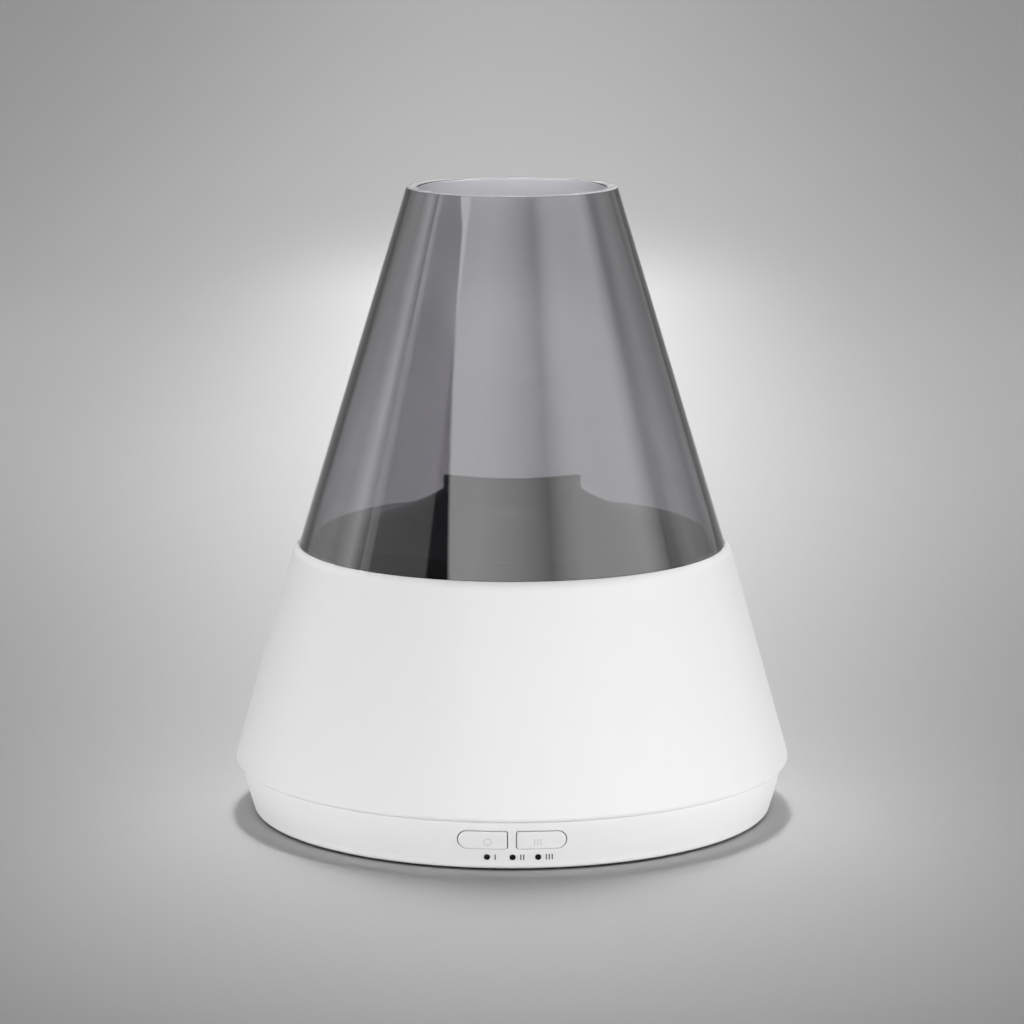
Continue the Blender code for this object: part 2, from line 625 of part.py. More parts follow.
def indicator_lenses():
    """Dark lenses that carry the light of the indicator lamps to the front."""
    for i, x in enumerate(INDICATOR_X, 1):
        face = math.sqrt(base_radius(INDICATOR_Z) ** 2 - x ** 2) + 0.06 * MM
        back, flange_front, flange_back = 62.6 * MM, 66.9 * MM, 66.2 * MM
        flange_r = INDICATOR_R + 0.3 * MM
        points = [(0.0, face), (INDICATOR_R, face), (INDICATOR_R, flange_front),
                  (flange_r, flange_front), (flange_r, flange_back), (INDICATOR_R, flange_back),
                  (INDICATOR_R, back), (0.0, back)]
        turned(f"indicator_lens_{i}", points, BLACK, closed=False, steps=12,
               place=(x, 0.0, INDICATOR_Z), turn=(math.pi / 2.0, 0.0, 0.0))


def button_board():
    """Upright board behind the buttons, with its switches and indicator lamps."""
    block("button_board", (-PANEL_HALF, PANEL_Y, 3.0 * MM),
          (PANEL_HALF, PANEL_Y + PANEL_THICK, 15.5 * MM), BOARD_GREEN)
    middle_z = BUTTON_LOW_Z + BUTTON_TALL / 2.0
    half = 3.0 * MM
    for i, side in enumerate((-1.0, 1.0), 1):
        x = side * (BUTTON_X + BUTTON_WIDE / 2.0)
        face = PANEL_Y - 3.7 * MM
        name = f"tact_switch_{i}"
        body = block(name, (x - half, face, middle_z - half), (x + half, PANEL_Y - FIT_GAP,
                                                               middle_z + half), BLACK, 0.3 * MM)
        join(body, along_y(name + "_stem", [(x, middle_z)], 1.6 * MM, face - 0.5 * MM,
                           face + 0.5 * MM, 16))
    for i, x in enumerate(INDICATOR_X, 1):
        block(f"indicator_led_{i}", (x - 0.8 * MM, PANEL_Y - 1.1 * MM, INDICATOR_Z - 0.5 * MM),
              (x + 0.8 * MM, PANEL_Y - FIT_GAP, INDICATOR_Z + 0.5 * MM), LED_CLEAR)


# ---- ultrasonic disc --------------------------------------------------------------------
def clamp_screw_places():
    return ring_places(PIEZO_SCREW_RING, (30.0, 150.0, 270.0))


def mist_maker():
    """Ultrasonic disc in its silicone seal, held under the tank by a clamp and three screws."""
    disc_low, disc_high = 29.8 * MM, 30.6 * MM
    turned("piezo_disc", [(0.0, disc_high), (PIEZO_R, disc_high), (PIEZO_R, disc_low),
                          (0.0, disc_low)], CERAMIC, closed=False, steps=32)
    seal_r, seal_top, seal_low = 12.8 * MM, 31.5 * MM, 28.6 * MM
    groove_r, lip_r = PIEZO_R + FIT_GAP, PIEZO_R - 1.4 * MM
    turned("piezo_seal", [(lip_r, seal_top), (seal_r, seal_top), (seal_r, seal_low),
                          (lip_r, seal_low), (lip_r, disc_low - FIT_GAP),
                          (groove_r, disc_low - FIT_GAP), (groove_r, disc_high + FIT_GAP),
                          (lip_r, disc_high + FIT_GAP)], SILICONE, steps=32)
    clamp_r, clamp_top = 20.5 * MM, 28.3 * MM
    clamp = turned("piezo_clamp", [(lip_r, clamp_top), (clamp_r, clamp_top), (clamp_r, CLAMP_Z),
                                   (lip_r, CLAMP_Z)], ALUMINIUM, steps=32)
    cut(clamp, uprights("clamp_holes", clamp_screw_places(), 1.5 * MM, 25.0 * MM, 30.0 * MM, 12))
    for i, (x, y) in enumerate(clamp_screw_places(), 1):
        screw_piece(f"piezo_screw_{i}", (x, y, CLAMP_Z - FIT_GAP), 2.4 * MM, 1.5 * MM, 1.1 * MM,
                    4.6 * MM, upside_down=True)


# ---- fan --------------------------------------------------------------------------------
def fan_corner_places():
    half = FAN_HOLE_PITCH / 2.0
    return [(x, FAN_Y + y) for x in (-half, half) for y in (-half, half)]


def fan_screw_places():
    half = FAN_HOLE_PITCH / 2.0
    return [(-half, FAN_Y - half), (half, FAN_Y + half)]


def fan():
    """Square axial fan: frame with a motor spider, rotor with pitched blades, two screws."""
    half, high = FAN_SIDE / 2.0, FAN_LOW_Z + FAN_THICK
    frame = block("fan_frame", (-half, FAN_Y - half, FAN_LOW_Z), (half, FAN_Y + half, high), BLACK)
    bore = uprights("fan_bore", [(0.0, FAN_Y)], FAN_BORE_R, 0.0, 30.0 * MM, 32)
    holes = uprights("fan_holes", fan_corner_places(), 1.8 * MM, 0.0, 30.0 * MM, 12)
    spider_high = FAN_LOW_Z + 1.2 * MM
    arm = 1.2 * MM
    reach = FAN_BORE_R + 0.6 * MM
    arms = add_guide("fan_arms", boxes_mesh("fan_arms", [
        ((-reach, FAN_Y - arm, FAN_LOW_Z), (reach, FAN_Y + arm, spider_high))]))
    cross = add_guide("fan_cross", boxes_mesh("fan_cross", [
        ((-arm, FAN_Y - reach, FAN_LOW_Z), (arm, FAN_Y + reach, spider_high))]))
    seat = uprights("fan_seat", [(0.0, FAN_Y)], FAN_HUB_R, FAN_LOW_Z, spider_high, SMALL_STEPS)
    cut(frame, bore, holes)
    join(frame, arms, cross, seat)
    for i, (x, y) in enumerate(fan_screw_places(), 1):
        screw_piece(f"fan_screw_{i}", (x, y, high + FIT_GAP), 2.6 * MM, 1.6 * MM, 1.2 * MM,
                    13.5 * MM)
    fan_rotor(spider_high + FIT_GAP, high - 0.4 * MM)


def fan_rotor(low, high):
    """Rotor about the fan's own axis, its hub closed at the top."""
    empty = pivot("fan_axis", (0.0, FAN_Y, low))
    tall = high - low
    edge = 0.8 * MM
    points = [(0.0, tall), (FAN_HUB_R - edge, tall), (FAN_HUB_R, tall - edge), (FAN_HUB_R, 0.0),
              (0.0, 0.0)]
    rotor = turned("fan_rotor", points, BLACK, closed=False)
    rotor.parent = empty
    pitch = math.radians(38.0)
    inner, outer, chord, thick = FAN_HUB_R - 1.0 * MM, FAN_BORE_R - 1.0 * MM, 9.0 * MM, 1.0 * MM
    for i in range(FAN_BLADES):
        name = f"fan_blade_{i + 1}"
        size = [((inner, -chord / 2.0, -thick / 2.0), (outer, chord / 2.0, thick / 2.0))]
        blade = add_guide(name, boxes_mesh(name, size))
        around = Matrix.Rotation(2.0 * math.pi * i / FAN_BLADES, 4, "Z")
        place = Matrix.Translation((0.0, FAN_Y, low + tall / 2.0))
        blade.matrix_world = place @ around @ Matrix.Rotation(pitch, 4, "X")
        join(rotor, blade)


# ---- circuit boards ---------------------------------------------------------------------
def board_screw_places():
    return [(BOARD_CENTRE.x + x, BOARD_CENTRE.y + y) for x in (-BOARD_HOLE_X, BOARD_HOLE_X)
            for y in (-BOARD_HOLE_Y, BOARD_HOLE_Y)]


def light_screw_places():
    return [(LIGHT_BOARD_X, -LIGHT_BOARD_HOLE_Y), (LIGHT_BOARD_X, LIGHT_BOARD_HOLE_Y)]


def can(name, x, y, radius, tall, finish):
    """A round component standing on the main board, with softened edges."""
    low = BOARD_LOW_Z + BOARD_SIZE.z + FIT_GAP
    edge = radius * 0.12
    points = [(0.0, tall), (radius - edge, tall), (radius, tall - edge), (radius, edge),
              (radius - edge, 0.0), (0.0, 0.0)]
    turned(name, points, finish, closed=False, steps=20, place=(x, y, low))


def heat_sink():
    """Comb-shaped extrusion standing behind the power transistor."""
    fins, wide, fin, base, deep = 6, 20.0 * MM, 1.4 * MM, 2.0 * MM, 7.0 * MM
    pitch = (wide - fin) / (fins - 1)
    points = [(wide / 2.0, base), (-wide / 2.0, base)]
    for i in range(fins):
        left = -wide / 2.0 + i * pitch
        points += [(left, -deep), (left + fin, -deep)]
        if i < fins - 1:
            points += [(left + fin, 0.0), (left + pitch, 0.0)]
    tall = 14.0 * MM
    low = BOARD_LOW_Z + BOARD_SIZE.z + FIT_GAP
    mesh = outline_mesh("heat_sink", points, tall / 2.0)
    add_part("heat_sink", mesh, ALUMINIUM, (8.0 * MM, -38.0 * MM, low + tall / 2.0))


def main_board():
    """Driver board and its larger components."""
    half = BOARD_SIZE / 2.0
    top = BOARD_LOW_Z + BOARD_SIZE.z
    low = (BOARD_CENTRE.x - half.x, BOARD_CENTRE.y - half.y, BOARD_LOW_Z)
    high = (BOARD_CENTRE.x + half.x, BOARD_CENTRE.y + half.y, top)
    board = block("main_board", low, high, BOARD_GREEN)
    cut(board, uprights("board_holes", board_screw_places(), 1.6 * MM, 4.0 * MM, 12.0 * MM, 12))
    for i, (x, y) in enumerate(board_screw_places(), 1):
        screw_piece(f"board_screw_{i}", (x, y, top + FIT_GAP), 2.5 * MM, 1.5 * MM, 1.2 * MM,
                    4.6 * MM)
    chip_low = top + FIT_GAP
    block("microcontroller", (-4.0 * MM, -31.0 * MM, chip_low),
          (6.0 * MM, -27.0 * MM, chip_low + 1.7 * MM), BLACK)
    block("power_transistor", (3.0 * MM, -35.7 * MM, chip_low),
          (13.0 * MM, -31.2 * MM, chip_low + 14.0 * MM), BLACK, 0.3 * MM)
    heat_sink()
    can("inductor", -21.0 * MM, -34.0 * MM, 5.0 * MM, 11.0 * MM, COPPER)
    can("capacitor_1", -12.0 * MM, -42.0 * MM, 4.0 * MM, 11.5 * MM, SLEEVE)
    can("capacitor_2", -21.0 * MM, -22.5 * MM, 3.2 * MM, 11.5 * MM, SLEEVE)


def light_board():
    """Small board with the coloured lamps that light the tank from below."""
    half = LIGHT_BOARD_SIZE / 2.0
    top = LIGHT_BOARD_LOW_Z + LIGHT_BOARD_SIZE.z
    board = block("light_board", (LIGHT_BOARD_X - half.x, -half.y, LIGHT_BOARD_LOW_Z),
                  (LIGHT_BOARD_X + half.x, half.y, top), SILICONE)
    cut(board, uprights("light_holes", light_screw_places(), 1.4 * MM, 12.0 * MM, 17.0 * MM, 12))
    for i, (x, y) in enumerate(light_screw_places(), 1):
        screw_piece(f"light_board_screw_{i}", (x, y, top + FIT_GAP), 2.2 * MM, 1.3 * MM, 1.0 * MM,
                    6.0 * MM)
    lamp = 2.5 * MM
    for i in (1, 2, 3):
        y = (i - 2) * 6.6 * MM
        block(f"light_led_{i}", (LIGHT_BOARD_X - lamp, y - lamp, top + FIT_GAP),
              (LIGHT_BOARD_X + lamp, y + lamp, top + FIT_GAP + 1.6 * MM), LED_CLEAR)


def dc_jack():
    """Barrel power socket in the back wall, with its centre pin."""
    body = block("dc_jack", (-4.5 * MM, 55.0 * MM, 2.8 * MM), (4.5 * MM, JACK_BACK_Y, 13.0 * MM),
                 BLACK, 0.4 * MM)
    nose = along_y("jack_nose", [(0.0, JACK_Z)], JACK_NOSE_R, JACK_BACK_Y - 1.0 * MM, JACK_FACE_Y,
                   SMALL_STEPS)
    bore = along_y("jack_bore", [(0.0, JACK_Z)], JACK_BORE_R, 62.0 * MM, JACK_FACE_Y + 3.0 * MM,
                   SMALL_STEPS)
    cut(join(body, nose), bore)
    pin_r, pin_tip, pin_foot = 1.0 * MM, 70.6 * MM, 62.3 * MM
    points = [(0.0, pin_tip), (pin_r * 0.6, pin_tip), (pin_r, pin_tip - 0.5 * MM), (pin_r, pin_foot),
              (0.0, pin_foot)]
    turned("dc_jack_pin", points, STEEL, closed=False, steps=12, place=(0.0, 0.0, JACK_Z),
           turn=(-math.pi / 2.0, 0.0, 0.0))


# ---- wires ------------------------------------------------------------------------------
def smooth_route(knots, between):
    """Points of a smooth curve through the knots, given in millimetres."""
    ends = [2 * Vector(knots[0]) - Vector(knots[1])]
    ends += [Vector(k) for k in knots]
    ends += [2 * Vector(knots[-1]) - Vector(knots[-2])]
    points = []
    for a, b, c, d in zip(ends, ends[1:], ends[2:], ends[3:]):
        for i in range(between):
            t = i / between
            points.append(0.5 * (2 * b + (c - a) * t + (2 * a - 5 * b + 4 * c - d) * t ** 2
                                 + (3 * b - a - 3 * c + d) * t ** 3))
    points.append(Vector(knots[-1]))
    return [p * MM for p in points]


def wire(name, knots, finish, radius=0.6 * MM):
    curve = bpy.data.curves.new(name, "CURVE")
    curve.dimensions = "3D"
    curve.bevel_depth = radius
    curve.bevel_resolution = 2
    curve.use_fill_caps = True
    points = smooth_route(knots, 3)
    line = curve.splines.new("POLY")
    line.points.add(len(points) - 1)
    for point, place in zip(line.points, points):
        point.co = (*place, 1.0)
    curve.materials.append(material(finish))
    obj = bpy.data.objects.new(name, curve)
    parts.objects.link(obj)


def wires():
    """Leads from the driver board to the disc, the fan, the buttons, the lamps and the socket."""
    wire("piezo_wire", [(-8, -22, 8.9), (-8, -20, 15), (-6, -11, 21), (-4.5, -4, 25), (-4, -3, 29)],
         WIRE_RED)
    wire("fan_wire", [(8, -20, 8.9), (9, -17, 12), (13, -6, 12), (16, 4, 11), (17, 12.3, 11)],
         WIRE_BLACK)
    wire("panel_wire", [(-5, -44, 8.9), (-5, -47, 12.5), (-5, -53, 12.5), (-5, -58.7, 11)],
         WIRE_WHITE)
    wire("light_wire", [(21, -26, 8.9), (24, -22, 14), (33, -10, 18.5), (41, -6, 18.5),
                        (43, -4, 16.2)], WIRE_WHITE)
    wire("power_wire", [(-5.4, 59, 6), (-15, 58, 5), (-26, 48, 5), (-29, 24, 6), (-28, 0, 11),
                        (-26, -14, 12), (-24, -17.8, 8.9)], WIRE_RED)


# ---- assembly ---------------------------------------------------------------------------
clear_scene()
parts = new_collection("essential_oil_diffuser")
cutters = new_collection("cutters")

smoke_cone()
cover_shell()
mist_lid()
tank_housing()
base_shell()
fastenings()
button("button_light", -1.0, "light_flange")
button("button_mist", 1.0, "mist_flange")
indicator_lenses()
button_board()
mist_maker()
fan()
main_board()
light_board()
dc_jack()
wires()
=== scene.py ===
"""Looks of the essential oil diffuser: fine surfaces, finishes, stage, light and camera.

Everything is in metres in the CAD model's frame: +Z up, the buttons on the -Y side.
"""
import math

import bmesh
import bpy
from mathutils import Matrix, Vector


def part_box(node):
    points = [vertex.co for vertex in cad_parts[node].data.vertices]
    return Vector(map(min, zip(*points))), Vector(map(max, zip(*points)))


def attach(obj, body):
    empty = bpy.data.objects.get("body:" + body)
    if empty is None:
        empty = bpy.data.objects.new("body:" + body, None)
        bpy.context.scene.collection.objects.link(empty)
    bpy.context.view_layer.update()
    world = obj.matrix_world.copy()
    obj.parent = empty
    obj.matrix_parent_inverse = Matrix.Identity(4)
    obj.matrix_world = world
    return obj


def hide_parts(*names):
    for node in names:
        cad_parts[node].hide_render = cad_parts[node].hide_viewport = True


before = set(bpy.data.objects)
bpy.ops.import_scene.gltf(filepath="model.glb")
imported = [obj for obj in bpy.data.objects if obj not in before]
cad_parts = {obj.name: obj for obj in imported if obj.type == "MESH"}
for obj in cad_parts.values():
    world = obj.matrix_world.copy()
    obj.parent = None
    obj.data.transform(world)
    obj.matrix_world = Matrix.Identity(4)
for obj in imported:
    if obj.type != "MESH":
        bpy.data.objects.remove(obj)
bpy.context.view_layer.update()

MM = 0.001
TURN_SIDES = 192                # faces round a large turned piece
SMALL_SIDES = 64                # and round a small one
WELD = 0.0000005                # points of a turned piece this close become one

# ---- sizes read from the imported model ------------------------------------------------
CONE_LOW, CONE_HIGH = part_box("smoke_cone")
COVER_LOW, COVER_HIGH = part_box("cover_shell")
BASE_LOW, BASE_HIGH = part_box("base_shell")
LID_LOW, LID_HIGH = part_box("mist_lid")
TANK_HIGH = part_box("tank_housing")[1]

CONE_TOP_Z = CONE_HIGH.z
CONE_FOOT_R = CONE_HIGH.x
CONE_WALL = 2.0 * MM
CONE_SLOPE = 0.3048             # radius lost for each unit of height
COVER_LIP_Z = COVER_HIGH.z
COVER_FOOT_Z = COVER_LOW.z
COVER_R = COVER_HIGH.x
COVER_SHOULDER_R = 59.3 * MM
COVER_SHOULDER_Z = 70.9 * MM
COVER_WALL = 2.2 * MM
BASE_TOP_R = BASE_HIGH.x
BASE_TOP_Z = COVER_FOOT_Z - 0.12 * MM
BASE_BEND_R = 71.7 * MM
BASE_BEND_Z = 6.0 * MM
BASE_FOOT_R = 70.45 * MM
BASE_UNDER_Z = BASE_LOW.z
BASE_EDGE_R = 1.5 * MM
LID_R = 52.0 * MM
LID_SKIRT_R = LID_HIGH.x
LID_EDGE_Z = 77.0 * MM
NECK_R = 18.5 * MM
NECK_FOOT_Z = 88.24 * MM
LID_WALL = 1.8 * MM
MOUTH_Z = 91.5 * MM             # height of the cut mouth on the axis
BASE_WALL = 2.1 * MM
FLOOR_Z = 2.5 * MM
TANK_RIM_R = 50.4 * MM
TANK_RIM_Z = TANK_HIGH.z
TANK_WALL = 2.0 * MM
TANK_FLOOR_Z = 34.0 * MM
TANK_UNDER_Z = 31.8 * MM
DECK_Z = 28.2 * MM
DECK_UNDER_Z = 26.0 * MM
DUCT_Y = 34.0 * MM
BUTTON_X = 1.25 * MM            # inner edge of each cap, from the centre line
BUTTON_WIDE = 12.6 * MM
BUTTON_LOW_Z = 6.2 * MM
BUTTON_TALL = 4.9 * MM
BUTTON_OUTER_CORNER = 2.4 * MM
BUTTON_INNER_CORNER = 0.5 * MM
BUTTON_PROUD = 0.15 * MM
JACK_Z = 7.2 * MM
FIT_GAP = 0.3 * MM

# ---- camera and softboxes ---------------------------------------------------------------
CAMERA_PLACE = (0.0, -1.05525, 0.26816)
CAMERA_PITCH = math.radians(10.055)
CAMERA_LENS = 139.5
CAMERA_SENSOR = 36.0
PANEL_DISTANCE = 1.2            # of the softboxes from the object's axis


# ---- mesh helpers ---------------------------------------------------------------------
def arc(centre_r, centre_z, radius, start, end, count):
    """Points of an arc in the (r, z) plane, angles in degrees from +r towards +z."""
    points = []
    for i in range(count + 1):
        angle = math.radians(start + (end - start) * i / count)
        points.append((centre_r + radius * math.cos(angle), centre_z + radius * math.sin(angle)))
    return points


def straight(start, end, count):
    """Points strictly between two points, so that a long wall gets rows of faces."""
    return [(start[0] + (end[0] - start[0]) * i / count, start[1] + (end[1] - start[1]) * i / count)
            for i in range(1, count)]


def add_piece(name, mesh, body, material, slot, *nodes):
    """Links a piece, lets it ride on its body, and hides the CAD nodes it stands for."""
    obj = bpy.data.objects.new(name, mesh)
    bpy.context.scene.collection.objects.link(obj)
    mesh.materials.clear()
    mesh.materials.append(material)
    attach(obj, body)
    if nodes:
        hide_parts(*nodes)


def smooth(mesh, degrees=32.0):
    """Shades a mesh smooth, except along edges that bend by more than the angle."""
    mesh.shade_smooth()
    mesh.set_sharp_from_angle(angle=math.radians(degrees))
    return mesh


def turned_mesh(name, points, sides=TURN_SIDES, closed=True, shape=None):
    """A turned surface whose (r, z) profile runs down the outer side, top to bottom.

    shape(r, z, x, y) may give another height for a point, for what isn't quite round."""
    form = bmesh.new()
    columns = []
    for i in range(sides):
        angle = 2.0 * math.pi * i / sides
        column = []
        for r, z in points:
            x, y = r * math.cos(angle), r * math.sin(angle)
            column.append(form.verts.new((x, y, shape(r, z, x, y) if shape else z)))
        columns.append(column)
    count = len(points)
    rows = count if closed else count - 1
    for i in range(sides):
        here, there = columns[i], columns[(i + 1) % sides]
        for j in range(rows):
            k = (j + 1) % count
            form.faces.new((here[j], here[k], there[k], there[j]))
    bmesh.ops.remove_doubles(form, verts=form.verts, dist=WELD)
    mesh = bpy.data.meshes.new(name)
    form.to_mesh(mesh)
    form.free()
    return smooth(mesh)


def loose(mesh):
    """A bare object for a mesh that is still being worked on."""
    obj = bpy.data.objects.new(mesh.name, mesh)
    bpy.context.scene.collection.objects.link(obj)
    return obj


def shaped(name, mesh, *steps):
    """The mesh once others are joined to it or cut from it, in order, as (operation, mesh)."""
    body = loose(mesh)
    tools = [loose(tool) for _, tool in steps]
    for tool, (operation, _) in zip(tools, steps):
        modifier = body.modifiers.new(tool.name, "BOOLEAN")
        modifier.object = tool
        modifier.operation = operation
        modifier.solver = "EXACT"
    graph = bpy.context.evaluated_depsgraph_get()
    result = bpy.data.meshes.new_from_object(body.evaluated_get(graph))
    result.name = name
    for obj in [body] + tools:
        bpy.data.objects.remove(obj)
    return smooth(result)


def rods(places, radius, low, high, along="Z", sides=SMALL_SIDES):
    """Cylinders between two heights at each (x, y), or between two depths at each (x, z)."""
    form = bmesh.new()
    turn = Matrix.Rotation(math.pi / 2.0, 4, "X") if along == "Y" else Matrix.Identity(4)
    middle = (low + high) / 2.0
    for first, second in places:
        place = (first, middle, second) if along == "Y" else (first, second, middle)
        bmesh.ops.create_cone(form, cap_ends=True, segments=sides, radius1=radius, radius2=radius,
                              depth=high - low, matrix=Matrix.Translation(place) @ turn)
    return finished(form, "rods")


def boxes(corners, bevel=0.0):
    """Boxes, each between two opposite corners, with edges rounded by the bevel."""
    form = bmesh.new()
    for low, high in corners:
        low, high = Vector(low), Vector(high)
        size = Matrix.Diagonal((*(high - low), 1.0))
        bmesh.ops.create_cube(form, size=1.0, matrix=Matrix.Translation((low + high) / 2.0) @ size)
    if bevel:
        bmesh.ops.bevel(form, geom=form.edges, offset=bevel, segments=4, affect="EDGES",
                        profile=0.5)
    return finished(form, "boxes")


def finished(form, name):
    """The mesh of a form, with its faces turned outwards."""
    bmesh.ops.recalc_face_normals(form, faces=form.faces)
    mesh = bpy.data.meshes.new(name)
    form.to_mesh(mesh)
    form.free()
    return mesh


def middle(node):
    """Centre of a node's box."""
    low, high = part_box(node)
    return (low + high) / 2.0


def spots(prefix, count):
    """Centres in plan of numbered nodes."""
    return [middle(f"{prefix}_{i}").xy for i in range(1, count + 1)]


# ---- material helpers -----------------------------------------------------------------
class Finish:
    """One procedural material, with a few shorthands for the nodes it needs."""

    def __init__(self, name):
        self.material = bpy.data.materials.new(name)
        self.material.use_nodes = True
        self.tree = self.material.node_tree
        self.shader = self.tree.nodes["Principled BSDF"]
        self.output = self.tree.nodes["Material Output"]
        self.place = self.node("ShaderNodeTexCoord").outputs["Object"]

    def node(self, kind, **settings):
        made = self.tree.nodes.new(kind)
        for key, value in settings.items():
            setattr(made, key, value)
        return made

    def feed(self, source, target):
        self.tree.links.new(source, target)

    def fix(self, **values):
        for key, value in values.items():
            self.shader.inputs[key.replace("_", " ")].default_value = value

    def noise(self, scale, detail=3.0, stretch=(1.0, 1.0, 1.0)):
        """Noise with about scale grains per metre, which stretch lengthens along an axis."""
        mapping = self.node("ShaderNodeMapping")
        mapping.inputs["Scale"].default_value = stretch
        self.feed(self.place, mapping.inputs["Vector"])
        noise = self.node("ShaderNodeTexNoise")
        noise.inputs["Scale"].default_value = scale
        noise.inputs["Detail"].default_value = detail
        self.feed(mapping.outputs["Vector"], noise.inputs["Vector"])
        return noise.outputs["Fac"]

    def between(self, factor, low, high):
        """A number between two others."""
        span = self.node("ShaderNodeMapRange")
        span.inputs["From Min"].default_value = 0.3
        span.inputs["From Max"].default_value = 0.7
        span.inputs["To Min"].default_value = low
        span.inputs["To Max"].default_value = high
        self.feed(factor, span.inputs["Value"])
        return span.outputs["Result"]

    def blend(self, factor, first, second):
        """A colour between two others."""
        mix = self.node("ShaderNodeMix", data_type="RGBA")
        self.feed(factor, mix.inputs["Factor"])
        for socket, colour in ((mix.inputs["A"], first), (mix.inputs["B"], second)):
            if isinstance(colour, tuple):
                socket.default_value = (*colour, 1.0)
            else:
                self.feed(colour, socket)
        return mix.outputs["Result"]

    def bump(self, height, strength, distance):
        bump = self.node("ShaderNodeBump")
        bump.inputs["Strength"].default_value = strength
        bump.inputs["Distance"].default_value = distance
        self.feed(height, bump.inputs["Height"])
        self.feed(bump.outputs["Normal"], self.shader.inputs["Normal"])


def moulded(name, colour, roughness, spread=0.05, tone=0.02, grain=0.004):
    """Moulded plastic: faint flow marks in its tone, uneven polish and a very fine texture."""
    finish = Finish(name)
    cloud = finish.noise(28.0, detail=4.0, stretch=(1.0, 1.0, 0.35))
    darker = tuple(c * (1.0 - tone) for c in colour)
    lighter = tuple(min(1.0, c * (1.0 + tone)) for c in colour)
    finish.feed(finish.blend(cloud, darker, lighter), finish.shader.inputs["Base Color"])
    polish = finish.noise(160.0, detail=5.0)
    finish.feed(finish.between(polish, roughness - spread, roughness + spread),
                finish.shader.inputs["Roughness"])
    finish.bump(finish.noise(2600.0, detail=2.0), strength=grain * 10.0, distance=0.00002)
    finish.fix(IOR=1.46, Specular_IOR_Level=0.3)
    return finish


def smoked(name, going_in, coming_out):
    """Clear smoked plastic that lets lamps through to what it covers.

    The two numbers are the shares of light that cross its surface each way."""
    finish = Finish(name)
    finish.fix(Transmission_Weight=1.0, IOR=1.49)
    haze = finish.noise(40.0)
    finish.feed(finish.between(haze, low=0.010, high=0.025), finish.shader.inputs["Roughness"])
    facing = finish.node("ShaderNodeNewGeometry").outputs["Backfacing"]
    shade = (1.0, 0.99, 1.02)
    tints = [tuple(min(1.0, share * c) for c in shade) for share in (going_in, coming_out)]
    squares = [tuple(c * c for c in tint) for tint in tints]
    finish.feed(finish.blend(facing, *squares), finish.shader.inputs["Base Color"])
    clear = finish.node("ShaderNodeBsdfTransparent")
    finish.feed(finish.blend(facing, *tints), clear.inputs["Color"])
    lamp = finish.node("ShaderNodeLightPath").outputs["Is Shadow Ray"]
    mix = finish.node("ShaderNodeMixShader")
    finish.feed(lamp, mix.inputs["Fac"])
    finish.feed(finish.shader.outputs["BSDF"], mix.inputs[1])
    finish.feed(clear.outputs["BSDF"], mix.inputs[2])
    finish.feed(mix.outputs["Shader"], finish.output.inputs["Surface"])
    return finish.material


def metal(name, colour, roughness, grain, stretch=(1.0, 1.0, 1.0), mark=0.3):
    """Bare metal: uneven tone, and fine marks that stretch draws out along an axis."""
    finish = Finish(name)
    dull = tuple(c * 0.86 for c in colour)
    tarnish = finish.noise(300.0, detail=4.0)
    finish.feed(finish.blend(tarnish, dull, colour), finish.shader.inputs["Base Color"])
    lines = finish.noise(grain, detail=4.0, stretch=stretch)
    finish.feed(finish.between(lines, roughness * 0.75, roughness * 1.3),
                finish.shader.inputs["Roughness"])
    finish.bump(lines, strength=mark, distance=0.00003)
    finish.fix(Metallic=1.0)
    return finish


def board(name, mask, track):
    """Circuit board: solder mask over tracks that show as a faint raised pattern."""
    finish = Finish(name)
    tracks = finish.node("ShaderNodeTexBrick", offset=0.35)
    tracks.inputs["Scale"].default_value = 190.0
    tracks.inputs["Mortar Size"].default_value = 0.03
    tracks.inputs["Color1"].default_value = (*mask, 1.0)
    tracks.inputs["Color2"].default_value = (*(c * 0.86 for c in mask), 1.0)
    tracks.inputs["Mortar"].default_value = (*track, 1.0)
    finish.feed(finish.place, tracks.inputs["Vector"])
    cloud = finish.between(finish.noise(60.0), low=0.0, high=0.25)
    finish.feed(finish.blend(cloud, tracks.outputs["Color"], mask),
                finish.shader.inputs["Base Color"])
    finish.feed(finish.between(finish.noise(400.0), low=0.26, high=0.40),
                finish.shader.inputs["Roughness"])
    finish.bump(tracks.outputs["Fac"], strength=0.25, distance=0.00004)
    return finish


def winding(name):
    """Enamelled copper wire wound in even turns, with painted shade in the grooves between them."""
    finish = Finish(name)
    turns = finish.node("ShaderNodeTexWave", bands_direction="Z", wave_profile="SIN")
    turns.inputs["Scale"].default_value = 520.0
    turns.inputs["Distortion"].default_value = 0.4
    finish.feed(finish.place, turns.inputs["Vector"])
    # The grooves between turns are coloured darker than the enamel: painted shade in the creases.
    painted_groove_shade, enamel = (0.28, 0.09, 0.03), (0.78, 0.33, 0.14)
    finish.feed(finish.blend(turns.outputs["Fac"], painted_groove_shade, enamel),
                finish.shader.inputs["Base Color"])
    finish.feed(finish.between(finish.noise(500.0), low=0.22, high=0.36),
                finish.shader.inputs["Roughness"])
    finish.bump(turns.outputs["Fac"], strength=0.6, distance=0.00015)
    finish.fix(Metallic=1.0)
    return finish


def soft_rubber(name, colour, roughness):
    """Matt rubber with a fine pitted skin and a slight bloom."""
    finish = Finish(name)
    bloom = finish.noise(90.0, detail=4.0)
    lighter = tuple(min(1.0, c * 1.18 + 0.004) for c in colour)
    finish.feed(finish.blend(bloom, colour, lighter), finish.shader.inputs["Base Color"])
    finish.feed(finish.between(finish.noise(700.0), roughness - 0.08, roughness + 0.06),
                finish.shader.inputs["Roughness"])
    finish.bump(finish.noise(5000.0, detail=2.0), strength=0.3, distance=0.00003)
    return finish


